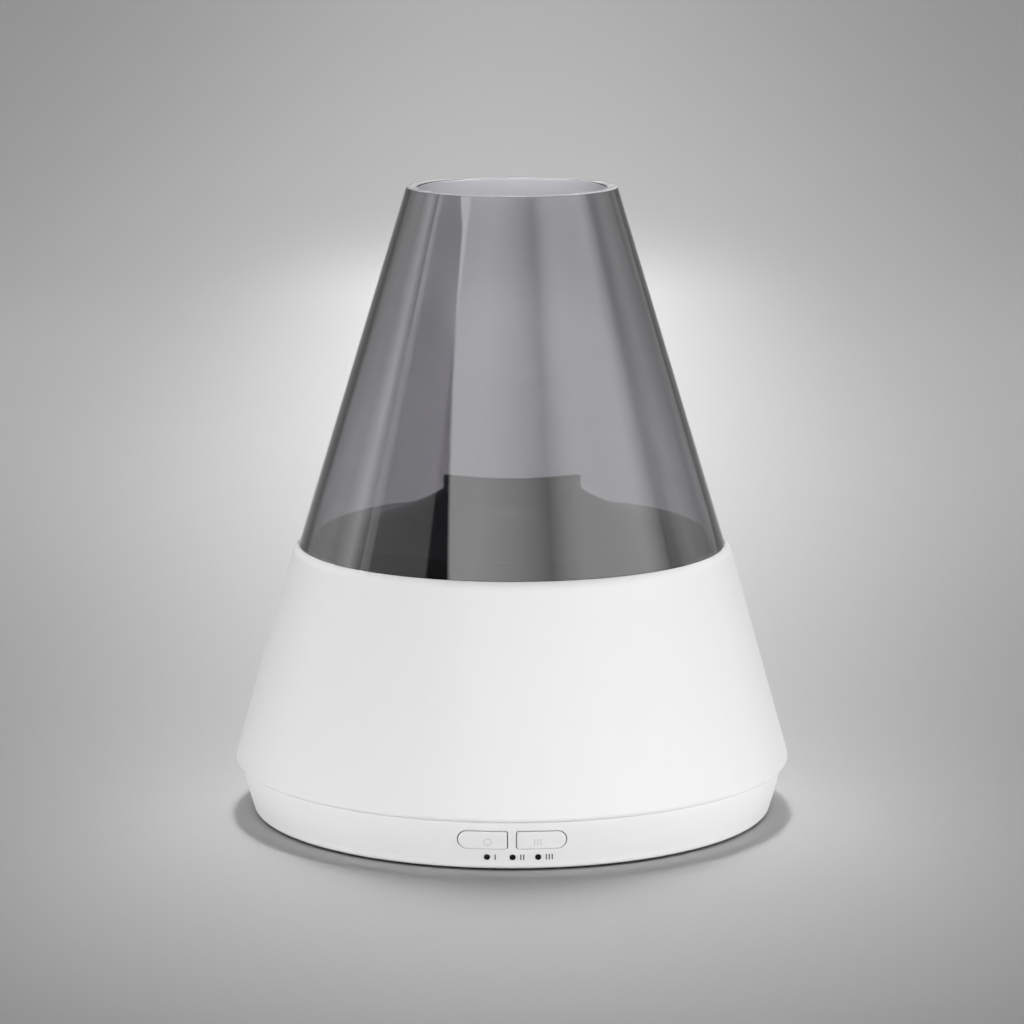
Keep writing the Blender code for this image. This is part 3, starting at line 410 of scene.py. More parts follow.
def lamp_resin(name):
    """Diffusing lamp resin over yellow phosphor."""
    finish = Finish(name)
    phosphor, resin = (0.86, 0.80, 0.52), (0.92, 0.90, 0.74)
    finish.feed(finish.blend(finish.noise(1200.0, detail=2.0), phosphor, resin),
                finish.shader.inputs["Base Color"])
    finish.feed(finish.between(finish.noise(900.0), low=0.10, high=0.20),
                finish.shader.inputs["Roughness"])
    finish.fix(IOR=1.53, Coat_Weight=0.6)
    return finish


# ---- the smoked cone and the white cover ------------------------------------------------
def cone_radius(z):
    """Outer radius of the smoked cone at a height."""
    return CONE_FOOT_R - CONE_SLOPE * (z - COVER_LIP_Z)


def smoke_cone():
    """Smoked cone, whose wall thickens a little towards its flat, softly rounded rim, whose upward
    faces carry a pale painted highlight.
    """
    edge, rim_wall = 0.3 * MM, 2.9 * MM
    steps = 12
    lean = math.degrees(math.atan(CONE_SLOPE))
    across = edge * math.hypot(1.0, CONE_SLOPE)
    centre_z = CONE_TOP_Z - edge
    outer_r = cone_radius(centre_z) - across
    inner_r = cone_radius(centre_z) - rim_wall + across
    rim = arc(inner_r, centre_z, edge, 180.0 + lean, 90.0, steps)
    rim += arc(outer_r, centre_z, edge, 90.0, lean, steps)
    foot = (CONE_FOOT_R, COVER_LIP_Z)
    inner_foot = (CONE_FOOT_R - CONE_WALL, COVER_LIP_Z)
    points = rim + straight(rim[-1], foot, steps) + [foot]
    points += [(CONE_FOOT_R, CONE_LOW.z), (inner_foot[0], CONE_LOW.z), inner_foot]
    points += straight(inner_foot, rim[0], steps)
    mesh = smooth(turned_mesh("smoke_cone_fine", points), degrees=12.0)
    outside = smoked("smoked_outside", going_in=0.250, coming_out=0.80)
    add_piece("smoke_cone_fine", mesh, "cover", outside, "smoked_plastic", "smoke_cone")
    mesh.materials.append(smoked("smoked_inside", going_in=0.98, coming_out=0.98))
    # The rim's upward faces get a pale, nearly white colour on smoked plastic: a painted highlight.
    mesh.materials.append(moulded("smoked_rim_painted_highlight", (0.85, 0.85, 0.86), 0.22).material)
    inside_slot, painted_highlight_slot, faces_up = 1, 2, 0.8
    for face in mesh.polygons:
        outward = face.normal.xy.dot(face.center.xy.normalized())
        if face.normal.z > faces_up:
            face.material_index = painted_highlight_slot
        elif outward < 0.0:
            face.material_index = inside_slot


def cover_shell(white):
    """White cover: a lip round the cone, a rounded shoulder and foot, a shelf for the cone."""
    foot_inset, foot_rise = 0.05 * MM, 1.5 * MM
    fall = COVER_SHOULDER_Z - COVER_FOOT_Z - foot_rise
    run = (COVER_R - foot_inset - COVER_SHOULDER_R) / fall
    lean = math.degrees(math.atan(run))
    bore = CONE_FOOT_R + 0.12 * MM
    shelf_top = CONE_LOW.z - 0.1 * MM
    shelf_low = shelf_top - 2.4 * MM
    shelf_in = bore - 3.4 * MM
    bevel = 0.3 * MM
    shoulder = 4.0 * MM
    centre_r = COVER_SHOULDER_R - shoulder * math.cos(math.radians(lean))
    centre_z = COVER_SHOULDER_Z - shoulder * math.sin(math.radians(lean))
    lip = 0.35 * MM
    top_angle = math.degrees(math.acos((bore + lip - centre_r) / shoulder))
    top = (centre_r + shoulder * math.cos(math.radians(top_angle)),
           centre_z + shoulder * math.sin(math.radians(top_angle)))
    lip_r = top[0] - lip * math.cos(math.radians(top_angle))
    lip_z = top[1] - lip * math.sin(math.radians(top_angle))
    points = arc(lip_r, lip_z, lip, 180.0, top_angle, 6)
    points += arc(centre_r, centre_z, shoulder, top_angle, lean, 12)[1:]
    foot = 1.2 * MM
    edge = arc(COVER_R - foot, COVER_FOOT_Z + foot, foot, lean, -90.0, 12)
    points += straight(points[-1], edge[0], 10) + edge
    across = COVER_WALL * math.hypot(1.0, run)

    def inner(z):
        return COVER_SHOULDER_R - across + run * (COVER_SHOULDER_Z - z)

    points += [(inner(COVER_FOOT_Z) + bevel, COVER_FOOT_Z),
               (inner(COVER_FOOT_Z), COVER_FOOT_Z + bevel), (inner(shelf_low), shelf_low),
               (shelf_in, shelf_low), (shelf_in, shelf_top), (bore, shelf_top)]
    mesh = turned_mesh("cover_shell_fine", points)
    add_piece("cover_shell_fine", mesh, "cover", white, "white_plastic", "cover_shell")


# ---- mist lid -----------------------------------------------------------------------------
def lid_height(radius):
    """Height of the dome, which sweeps up into the neck with a tight curve at its end."""
    straight_rise, swept_rise, sweep_power = 3.39 * MM, 6.48 * MM, 2.06
    reach, neck_rise = 6.8 * MM, 1.37 * MM
    along = (LID_R - radius) / (LID_R - NECK_R)
    share = min(1.0, max(0.0, (NECK_R + reach - radius) / reach))
    curve = neck_rise * (1.0 - math.sqrt(1.0 - share ** 2))
    return LID_EDGE_Z + straight_rise * along + swept_rise * along ** sweep_power + curve


def sweep(from_r, to_r, drop, count):
    """The lid's swept dome; its points crowd towards the neck, where it bends most."""
    points = []
    crowding = 1.6
    for i in range(count + 1):
        share = (i / count) ** crowding
        if to_r < from_r:
            share = 1.0 - (1.0 - i / count) ** crowding
        r = from_r + (to_r - from_r) * share
        points.append((r, lid_height(r) - drop))
    return points


def below_mouth(r, z, x, y):
    """Height of a point of the lid once the mouth's curved cut has trimmed it."""
    edge, soft = 0.55 * MM, 0.15 * MM
    slant, dip = 0.1757, 4.24
    inside = max(0.0, min(NECK_R - r, r - NECK_R + LID_WALL, edge))
    drop = edge - math.sqrt(edge ** 2 - (edge - inside) ** 2)
    cut = MOUTH_Z - slant * y - dip * y * y - drop
    gap = z - cut
    if gap < -soft:
        return z
    if gap > soft:
        return cut
    return z - (gap + soft) ** 2 / (4.0 * soft)


def mist_lid(dark):
    """Dark lid: domed top, neck with a cut mouth, stepped edge, skirt and locating ring."""
    seat_z = LID_EDGE_Z - 2.0 * MM
    skirt_in = 50.7 * MM
    ring_out, ring_in, ring_low = 48.0 * MM, 46.6 * MM, seat_z - 2.5 * MM
    brim, skirt_top, skirt_foot = 0.8 * MM, 0.25 * MM, 0.3 * MM
    skirt_low = LID_LOW.z
    neck_top = MOUTH_Z + 6.0 * MM
    inner_foot = (NECK_R - LID_WALL, NECK_FOOT_Z - LID_WALL)
    rim = LID_WALL / 2.0
    mouth = arc(NECK_R - rim, neck_top, rim, 180.0, 0.0, 24)
    points = mouth + straight((NECK_R, neck_top), (NECK_R, NECK_FOOT_Z), 36)
    points += sweep(NECK_R, LID_R - 0.9 * MM, 0.0, 40)
    points += arc(LID_R - brim, LID_EDGE_Z - 0.75 * MM, brim, 80.0, 0.0, 8)
    points += [(LID_R, seat_z + 0.35 * MM), (LID_R + 0.1 * MM, seat_z + 0.15 * MM)]
    points += arc(LID_SKIRT_R - skirt_top, seat_z - 0.2 * MM, skirt_top, 80.0, 0.0, 4)
    points += arc(LID_SKIRT_R - skirt_foot, skirt_low + skirt_foot, skirt_foot, 0.0, -90.0, 4)
    points += [(skirt_in, skirt_low), (skirt_in, seat_z), (ring_out, seat_z),
               (ring_out, ring_low), (ring_in, ring_low)]
    points += sweep(ring_in, NECK_R + 0.3 * MM, LID_WALL, 20)
    points += [inner_foot] + straight(inner_foot, (inner_foot[0], neck_top), 36)
    mesh = turned_mesh("mist_lid_fine", points, shape=below_mouth)
    add_piece("mist_lid_fine", mesh, "lid", dark, "dark_smoked_plastic", "mist_lid")


# ---- base shell -----------------------------------------------------------------------------
def base_radius(z):
    """Outer radius of the base's wall at a height above its rounded lower edge."""
    if z >= BASE_BEND_Z:
        steep = (BASE_TOP_R - BASE_BEND_R) / (BASE_TOP_Z - BASE_BEND_Z)
        return BASE_BEND_R + steep * (z - BASE_BEND_Z)
    low_z = BASE_UNDER_Z + BASE_EDGE_R
    return BASE_FOOT_R + (BASE_BEND_R - BASE_FOOT_R) * (z - low_z) / (BASE_BEND_Z - low_z)


def on_wall(x, z, rise):
    """Point of the base's front wall at (x, z), raised by a little."""
    return Vector((x, -math.sqrt(base_radius(z) ** 2 - x * x) - rise, z))


def key_outline(side, grow, count, grow_low=None):
    """Outline of one button in (x, z): large outer corners, small inner ones.

    It starts and ends on the outer edge, so the points of its upper half face those of its
    lower half. count is how many stretches the long edges have."""
    low_x, high_x = BUTTON_X - grow, BUTTON_X + BUTTON_WIDE + grow
    grow_low = grow if grow_low is None else grow_low
    low_z, high_z = BUTTON_LOW_Z - grow_low, BUTTON_LOW_Z + BUTTON_TALL + grow
    outer = max(BUTTON_OUTER_CORNER + (grow + grow_low) / 2.0, 0.02 * MM)
    inner = max(BUTTON_INNER_CORNER + grow, 0.02 * MM)
    top_outer = arc(high_x - outer, high_z - outer, outer, 0.0, 90.0, 10)
    top_inner = arc(low_x + inner, high_z - inner, inner, 90.0, 180.0, 10)
    low_inner = arc(low_x + inner, low_z + inner, inner, 180.0, 270.0, 10)
    low_outer = arc(high_x - outer, low_z + outer, outer, 270.0, 360.0, 10)
    points = top_outer + straight(top_outer[-1], top_inner[0], count) + top_inner
    points += low_inner + straight(low_inner[-1], low_outer[0], count) + low_outer
    return [(side * x, z) for x, z in points]


def window(side):
    """Cutter for a button's window."""
    form = bmesh.new()
    gap, gap_below = 0.26 * MM, 0.04 * MM
    front, back = -76.0 * MM, -66.0 * MM
    outline = key_outline(side, gap, 1, gap_below)
    rings = [[form.verts.new((x, y, z)) for x, z in outline] for y in (front, back)]
    form.faces.new(rings[0])
    form.faces.new(rings[1][::-1])
    for i in range(len(outline)):
        j = i - 1
        form.faces.new((rings[0][j], rings[0][i], rings[1][i], rings[1][j]))
    return finished(form, "window")


def base_profile():
    """Profile of the case's lower half: its tapered wall, rounded lower edge and floor."""
    edge_r, edge_z = BASE_FOOT_R - BASE_EDGE_R, BASE_UNDER_Z + BASE_EDGE_R
    lip, wall_lean = 0.25 * MM, -14.0
    fillet = 1.0 * MM
    bend, foot = (BASE_BEND_R, BASE_BEND_Z), (BASE_FOOT_R, edge_z)
    points = arc(BASE_TOP_R - BASE_WALL + lip, BASE_TOP_Z - lip, lip, 180.0, 90.0, 4)
    points += arc(BASE_TOP_R - lip, BASE_TOP_Z - lip, lip, 90.0, wall_lean, 6)
    points += straight(points[-1], bend, 4) + [bend] + straight(bend, foot, 3)
    points += arc(edge_r, edge_z, BASE_EDGE_R, 0.0, -90.0, 14)
    points += [(0.0, BASE_UNDER_Z), (0.0, FLOOR_Z), (BASE_FOOT_R - BASE_WALL - fillet, FLOOR_Z),
               (BASE_FOOT_R - BASE_WALL, FLOOR_Z + fillet),
               (BASE_BEND_R - BASE_WALL, BASE_BEND_Z)]
    return points


def intake_slots():
    """Parallel air slots under the fan."""
    reach, pitch, half, past = 16.5 * MM, 4.4 * MM, 1.2 * MM, 1.0 * MM
    fan_y = middle("fan_rotor").y
    corners = []
    for i in range(-3, 4):
        half_long = math.sqrt(reach ** 2 - (i * pitch) ** 2)
        corners.append(((-half_long, fan_y + i * pitch - half, -past),
                        (half_long, fan_y + i * pitch + half, FLOOR_Z + past)))
    return boxes(corners)


def base_shell(white):
    """Lower case: floor, tapered wall, bosses, button windows, lens holes and air intake."""
    sunk, below = FLOOR_Z - 0.5 * MM, -1.0 * MM
    case, board = spots("case_screw", 4), spots("board_screw", 4)
    light = spots("light_board_screw", 2)
    case_boss, board_boss, fan_boss, light_boss = 4.0 * MM, 2.5 * MM, 2.8 * MM, 2.3 * MM
    case_bore, board_bore, fan_bore, light_bore = 1.8 * MM, 1.5 * MM, 1.5 * MM, 1.3 * MM
    head_r, head_deep, lens_bore, jack_bore = 3.4 * MM, 3.6 * MM, 0.85 * MM, 3.6 * MM + FIT_GAP
    rail_top, slot_top = 12.0 * MM, 14.0 * MM
    fan_low, fan_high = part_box("fan_frame")
    inset = 4.0 * MM
    fan = [(x, y) for x in (fan_low.x + inset, fan_high.x - inset)
           for y in (fan_low.y + inset, fan_high.y - inset)]
    panel_low, panel_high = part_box("button_board")
    rail_in, rail_out = panel_high.x - 1.5 * MM, panel_high.x + 2.0 * MM
    slot_in, slot_out = panel_high.x - 2.5 * MM, panel_high.x + FIT_GAP
    near, far = panel_low.y - 1.5 * MM, panel_high.y + 1.5 * MM
    slot_near, slot_far = panel_low.y - FIT_GAP, panel_high.y + FIT_GAP
    rails = [((-rail_out, near, sunk), (-rail_in, far, rail_top)),
             ((rail_in, near, sunk), (rail_out, far, rail_top))]
    slots = [((-slot_out, slot_near, FLOOR_Z), (-slot_in, slot_far, slot_top)),
             ((slot_in, slot_near, FLOOR_Z), (slot_out, slot_far, slot_top))]
    lenses = [middle(f"indicator_lens_{i}").xz for i in (1, 2, 3)]
    fan_screws = spots("fan_screw", 2)
    foot_low, foot_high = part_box("foot_1")
    joined = [rods(case, case_boss, sunk, BASE_TOP_Z + 0.3 * MM),
              rods(board, board_boss, sunk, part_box("main_board")[0].z - FIT_GAP),
              rods(fan, fan_boss, sunk, fan_low.z - FIT_GAP),
              rods(light, light_boss, sunk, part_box("light_board")[0].z - FIT_GAP),
              boxes(rails)]
    cut = [rods(case, case_bore, below, 16.0 * MM), rods(case, head_r, below, head_deep),
           rods(board, board_bore, 3.0 * MM, 8.0 * MM),
           rods(fan_screws, fan_bore, 1.5 * MM, 8.0 * MM),
           rods(light, light_bore, 8.0 * MM, 15.0 * MM),
           rods(spots("foot", 4), (foot_high.x - foot_low.x) / 2.0 + FIT_GAP, below,
                foot_high.z + FIT_GAP),
           boxes(slots), window(-1.0), window(1.0),
           rods(lenses, lens_bore, -75.0 * MM, -66.0 * MM, "Y"),
           rods([(0.0, JACK_Z)], jack_bore, 66.0 * MM, 76.0 * MM, "Y"), intake_slots()]
    steps = [("UNION", mesh) for mesh in joined] + [("DIFFERENCE", mesh) for mesh in cut]
    mesh = shaped("base_shell_fine", turned_mesh("base_body", base_profile()), *steps)
    add_piece("base_shell_fine", mesh, "base", white, "white_plastic", "base_shell")


# ---- buttons, lenses and their marks --------------------------------------------------------
def button(node, side, white):
    """Cap whose face follows the base's wall, with rounded edges, and its retaining flange."""
    form = bmesh.new()
    edge, weld = 0.3 * MM, 0.000004
    flange_edge = 0.85 * MM
    flange_front, flange_back = -67.5 * MM, -66.3 * MM

    def ring(grow, depth=None, drop=0.0):
        made = []
        for x, z in key_outline(side, grow, 20):
            y = on_wall(x, z, BUTTON_PROUD - drop).y if depth is None else depth
            made.append(form.verts.new((x, y, z)))
        return made

    rings = [ring(flange_edge, flange_back), ring(flange_edge, flange_front),
             ring(0.0, flange_front)]
    for angle in (0.0, 15.0, 30.0, 45.0, 60.0, 75.0, 90.0):
        turn = math.radians(angle)
        rings.append(ring(-edge * (1.0 - math.cos(turn)), drop=edge * (1.0 - math.sin(turn))))
    rings += [ring(-inset * MM) for inset in (0.6, 1.0, 1.5, 2.0, 2.38)]
    count = len(rings[0])
    for lower, upper in zip(rings, rings[1:]):
        for i in range(count):
            form.faces.new((lower[i - 1], lower[i], upper[i], upper[i - 1]))
    for end in (rings[0], rings[-1]):
        for i in range(count // 2 - 1):
            form.faces.new((end[i], end[i + 1], end[count - 2 - i], end[count - 1 - i]))
    bmesh.ops.remove_doubles(form, verts=form.verts, dist=weld)
    mesh = smooth(finished(form, node + "_fine"), degrees=50.0)
    add_piece(node + "_fine", mesh, node, white, "white_cap", node)


def marks(name, lines, half, rise, body, ink, slot, on_cap=False):
    """Thin raised strokes on the front wall; lines are lists of (x, z) in millimetres.

    A line that ends where it starts is a closed ring; the others have rounded ends."""
    form = bmesh.new()
    proud = BUTTON_PROUD if on_cap else 0.0
    sunk, bluntest, same_point = -0.1 * MM, 0.04, 0.001 * MM
    for line in lines:
        path = [Vector(point) * MM for point in line]
        looped = (path[0] - path[-1]).length < same_point
        if looped:
            path.pop()
        count = len(path)
        sections = []
        for i, point in enumerate(path):
            before = path[i - 1] if looped or i else point
            after = path[(i + 1) % count] if looped or i < count - 1 else point
            along = (after - before).normalized()
            across = Vector((-along.y, along.x)) * half
            if not looped:
                from_end = min((point - path[0]).length, (path[-1] - point).length) / half
                across *= math.sqrt(max(bluntest, 1.0 - (1.0 - min(1.0, from_end)) ** 2))
            left, right = point + across, point - across
            sections.append([form.verts.new(on_wall(at.x, at.y, proud + lift))
                             for at, lift in ((left, rise), (right, rise),
                                              (right, sunk), (left, sunk))])
        pairs = list(zip(sections, sections[1:]))
        if looped:
            pairs.append((sections[-1], sections[0]))
        else:
            form.faces.new(sections[0])
            form.faces.new(sections[-1][::-1])
        for here, there in pairs:
            for i in range(4):
                form.faces.new((here[i - 1], here[i], there[i], there[i - 1]))
    add_piece(name, smooth(finished(form, name)), body, ink, slot)


def stroke(x, low, high, slant=0.0, wave=0.0):
    """Upright stroke, which may slant and bend to one side and the other."""
    points = []
    steps = 28
    for i in range(steps + 1):
        share = (1.0 - math.cos(math.pi * i / steps)) / 2.0
        bend = wave * math.sin(2.0 * math.pi * share)
        points.append((x + slant * (share - 0.5) + bend, low + (high - low) * share))
    return points


def button_marks(faint, dark):
    """A ring for the lamp, three wisps for the mist, and one to three strokes for the timer."""
    rise = 0.02 * MM
    ring_x, wisp_x, symbol_z, symbol_half = -6.25, 6.6, 8.15, 0.95
    low, high = symbol_z - symbol_half, symbol_z + symbol_half
    ring = [(ring_x + dx, symbol_z + dz)
            for dx, dz in arc(0.0, 0.0, symbol_half, 0.0, 360.0, 48)]
    marks("light_symbol", [ring], 0.13 * MM, rise, "button_light", faint, "white_cap", True)
    wisps = [stroke(wisp_x + 0.8 * i, low, high, slant=0.35, wave=0.16) for i in (-1, 0, 1)]
    marks("mist_symbol", wisps, 0.12 * MM, rise, "button_mist", faint, "white_cap", True)
    tally_gap, tally_step, tally_half = 2.1, 0.75, 0.8
    for count in (1, 2, 3):
        lens = middle(f"indicator_lens_{count}") / MM
        first = lens.x + tally_gap
        tally = [stroke(first + tally_step * i, lens.z - tally_half, lens.z + tally_half)
                 for i in range(count)]
        marks(f"timer_tally_{count}", tally, 0.15 * MM, rise, "base", dark, "white_plastic")


def lens(index, glossy):
    """Domed dark lens with the flange that holds it behind the wall."""
    node = f"indicator_lens_{index}"
    low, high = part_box(node)
    x, z = middle(node).x, middle(node).z
    radius, flange_r, dome = 0.75 * MM, 1.05 * MM, 0.12 * MM
    face, back = -low.y, -high.y
    flange_front, flange_back = 66.9 * MM, 66.2 * MM
    points = [(0.0, face)]
    points += [(radius * math.sin(turn), face - dome * (1.0 - math.cos(turn)))
               for turn in (math.pi / 2.0 * i / 8 for i in range(1, 9))]
    points += [(radius, flange_front), (flange_r, flange_front), (flange_r, flange_back),
               (radius, flange_back), (radius, back), (0.0, back)]
    mesh = turned_mesh(node + "_fine", points, 48, closed=False)
    mesh.transform(Matrix.Translation((x, 0.0, z)) @ Matrix.Rotation(math.pi / 2.0, 4, "X"))
    add_piece(node + "_fine", mesh, "base", glossy, "lens_plastic", node)


# ---- feet, socket, screws and tank ------------------------------------------------------------
def foot(index, rubber):
    """Rubber foot with a rounded edge and a shallow dish underneath."""
    node = f"foot_{index}"
    low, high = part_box(node)
    radius, edge = (high.x - low.x) / 2.0, 0.45 * MM
    dish, dish_r, dish_floor_r = 0.15 * MM, radius * 0.7, radius * 0.62
    points = [(0.0, high.z), (radius, high.z)]
    points += arc(radius - edge, low.z + edge, edge, 0.0, -90.0, 6)
    points += [(dish_r, low.z), (dish_floor_r, low.z + dish), (0.0, low.z + dish)]
    mesh = turned_mesh(node + "_fine", points, SMALL_SIDES, closed=False)
    mesh.transform(Matrix.Translation((*middle(node).xy, 0.0)))
    add_piece(node + "_fine", mesh, "base", rubber, "grey_rubber", node)


def dc_jack(black):
    """Barrel power socket with a rounded nose round its bore."""
    low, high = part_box("dc_jack")
    nose_r, bore_r, edge, back = 3.6 * MM, 2.75 * MM, 0.25 * MM, 67.0 * MM
    start, bore_end = back - 1.0 * MM, 62.0 * MM
    points = [(0.0, high.y)] + arc(nose_r - edge, high.y - edge, edge, 90.0, 0.0, 6)
    points += [(nose_r, start), (0.0, start)]
    nose = turned_mesh("jack_nose", points, SMALL_SIDES, closed=False)
    nose.transform(Matrix.Translation((0.0, 0.0, JACK_Z)) @ Matrix.Rotation(-math.pi / 2.0, 4, "X"))
    body = boxes([(low, (high.x, back, high.z))], 0.4 * MM)
    bore = rods([(0.0, JACK_Z)], bore_r, bore_end, high.y + 3.0 * MM, "Y")
    mesh = shaped("dc_jack_fine", body, ("UNION", nose), ("DIFFERENCE", bore))
    add_piece("dc_jack_fine", mesh, "base", black, "black_plastic", "dc_jack")


def screw(node, head_r, head_tall, shaft_r, upside_down, steel):
    """Pan-head screw with a domed head and a cross recess."""
    low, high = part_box(node)
    long = high.z - low.z - head_tall
    dome = head_tall * 0.5
    points = [(head_r * math.sin(turn), head_tall - dome * (1.0 - math.cos(turn)))
              for turn in (math.pi / 2.0 * i / 8 for i in range(9))]
    points += [(head_r, 0.0), (shaft_r, 0.0), (shaft_r, shaft_r - long), (shaft_r * 0.4, -long),
               (0.0, -long)]
    half, thin = head_r * 0.55, head_r * 0.11
    bottom, above = head_tall - head_tall * 0.45, head_tall * 1.5
    bars = [boxes([((-half, -thin, bottom), (half, thin, above))]),
            boxes([((-thin, -half, bottom), (thin, half, above))])]
    turned = turned_mesh(node + "_body", points, 40, closed=False)
    mesh = shaped(node + "_fine", turned, *[("DIFFERENCE", bar) for bar in bars])
    seat = low.z + head_tall if upside_down else high.z - head_tall
    turn = Matrix.Rotation(math.pi if upside_down else 0.0, 4, "X")
    mesh.transform(Matrix.Translation((*middle(node).xy, seat)) @ turn)
    add_piece(node + "_fine", mesh, "base", steel, "zinc_steel", node)


def screws(steel):
    """All screws; each kind gives its name, number, sizes in millimetres and which way up."""
    kinds = [("case_screw", 4, 3.0, 2.0, 1.4, True), ("piezo_screw", 3, 2.4, 1.5, 1.1, True),
             ("fan_screw", 2, 2.6, 1.6, 1.2, False), ("board_screw", 4, 2.5, 1.5, 1.2, False),
             ("light_board_screw", 2, 2.2, 1.3, 1.0, False)]
    for prefix, count, head_r, head_tall, shaft_r, upside_down in kinds:
        for i in range(1, count + 1):
            screw(f"{prefix}_{i}", head_r * MM, head_tall * MM, shaft_r * MM, upside_down, steel)


def tank_housing(material):
    """One moulding: the water basin, the deck round its foot, and the air duct."""
    foot_r, corner = TANK_RIM_R - 1.6 * MM, 3.0 * MM
    lip_low = COVER_FOOT_Z - 2.9 * MM
    cup_in, cup_out, cup_low = 13.2 * MM, 14.7 * MM, 28.9 * MM
    hole_r, basin_r, basin_corner = 8.2 * MM, 46.0 * MM, 5.0 * MM
    rim = TANK_WALL / 2.0
    points = arc(TANK_RIM_R - rim, TANK_RIM_Z - rim, rim, 180.0, 0.0, 12)
    points += arc(foot_r + corner, DECK_Z + corner, corner, 180.0, 270.0, 8)
    points += [(64.5 * MM, DECK_Z), (66.4 * MM, DECK_Z - 0.5 * MM), (68.0 * MM, DECK_Z - 2.0 * MM),
               (69.2 * MM, 22.0 * MM), (71.0 * MM, COVER_FOOT_Z), (70.4 * MM, lip_low),
               (68.9 * MM, lip_low), (69.1 * MM, COVER_FOOT_Z), (67.3 * MM, 21.6 * MM),
               (66.4 * MM, DECK_UNDER_Z - 1.2 * MM), (63.8 * MM, DECK_UNDER_Z),
               (46.4 * MM, DECK_UNDER_Z), (46.4 * MM, TANK_UNDER_Z), (cup_out, TANK_UNDER_Z),
               (cup_out, cup_low), (cup_in, cup_low), (cup_in, TANK_UNDER_Z), (hole_r, TANK_UNDER_Z),
               (hole_r, TANK_FLOOR_Z - 0.4 * MM), (hole_r + 0.4 * MM, TANK_FLOOR_Z)]
    points += arc(basin_r - basin_corner, TANK_FLOOR_Z + basin_corner, basin_corner, -90.0, 0.0, 10)
    case, clamp = spots("case_screw", 4), spots("piezo_screw", 3)
    duct_top, duct_foot, duct_edge = 66.0 * MM, TANK_FLOOR_Z - 1.5 * MM, 0.4 * MM
    duct_r, duct_bore = 8.5 * MM, 6.8 * MM
    outline = [(0.0, duct_top)]
    outline += arc(duct_r - duct_edge, duct_top - duct_edge, duct_edge, 90.0, 0.0, 5)
    outline += [(duct_r, duct_foot), (0.0, duct_foot)]
    duct = turned_mesh("duct", outline, SMALL_SIDES, closed=False)
    duct.transform(Matrix.Translation((0.0, DUCT_Y, 0.0)))
    joined = [duct, rods(case, 4.0 * MM, BASE_TOP_Z + 0.6 * MM, DECK_UNDER_Z + 1.0 * MM),
              rods(clamp, 2.6 * MM, 28.6 * MM, TANK_UNDER_Z + 1.0 * MM)]
    notch_top = COVER_FOOT_Z - 0.6 * MM
    notch = ((-17.0 * MM, -73.0 * MM, 9.0 * MM), (17.0 * MM, -62.0 * MM, notch_top))
    cut = [rods([(0.0, DUCT_Y)], duct_bore, TANK_UNDER_Z - 4.0 * MM, duct_top + 4.0 * MM),
           rods(case, 1.7 * MM, BASE_TOP_Z - 2.0 * MM, 24.0 * MM),
           rods(clamp, 1.4 * MM, 27.0 * MM, 32.0 * MM), boxes([notch])]
    steps = [("UNION", mesh) for mesh in joined] + [("DIFFERENCE", mesh) for mesh in cut]
    mesh = shaped("tank_housing_fine", turned_mesh("tank_body", points), *steps)
    add_piece("tank_housing_fine", mesh, "base", material, "tank_plastic", "tank_housing")


# ---- stage, light and camera ---------------------------------------------------------------
def stage():
    """Seamless pale bowl: a flat floor that curves up into a wall all round."""
    floor_r, cove, wall_top = 1.15, 0.75, 2.4
    points = [(0.0, 0.0), (floor_r * 0.3, 0.0), (floor_r, 0.0)]
    points += arc(floor_r, cove, cove, -90.0, 0.0, 16)[1:]
    points += [(floor_r + cove, wall_top)]
    mesh = turned_mesh("backdrop", points[::-1], 96, closed=False)
    mesh.flip_normals()
    bowl = bpy.data.objects.new("backdrop", mesh)
    bpy.context.scene.collection.objects.link(bowl)
    finish = Finish("pale_backdrop")
    paper = finish.noise(6.0, 4.0)
    finish.feed(finish.blend(paper, (0.71, 0.71, 0.71), (0.73, 0.73, 0.73)),
                finish.shader.inputs["Base Color"])
    finish.fix(Roughness=0.9)
    mesh.materials.append(finish.material)
    product_only = bpy.data.collections.new("product_only")
    product_only.objects.link(bowl)
    product_only.collection_objects[0].light_linking.link_state = "EXCLUDE"


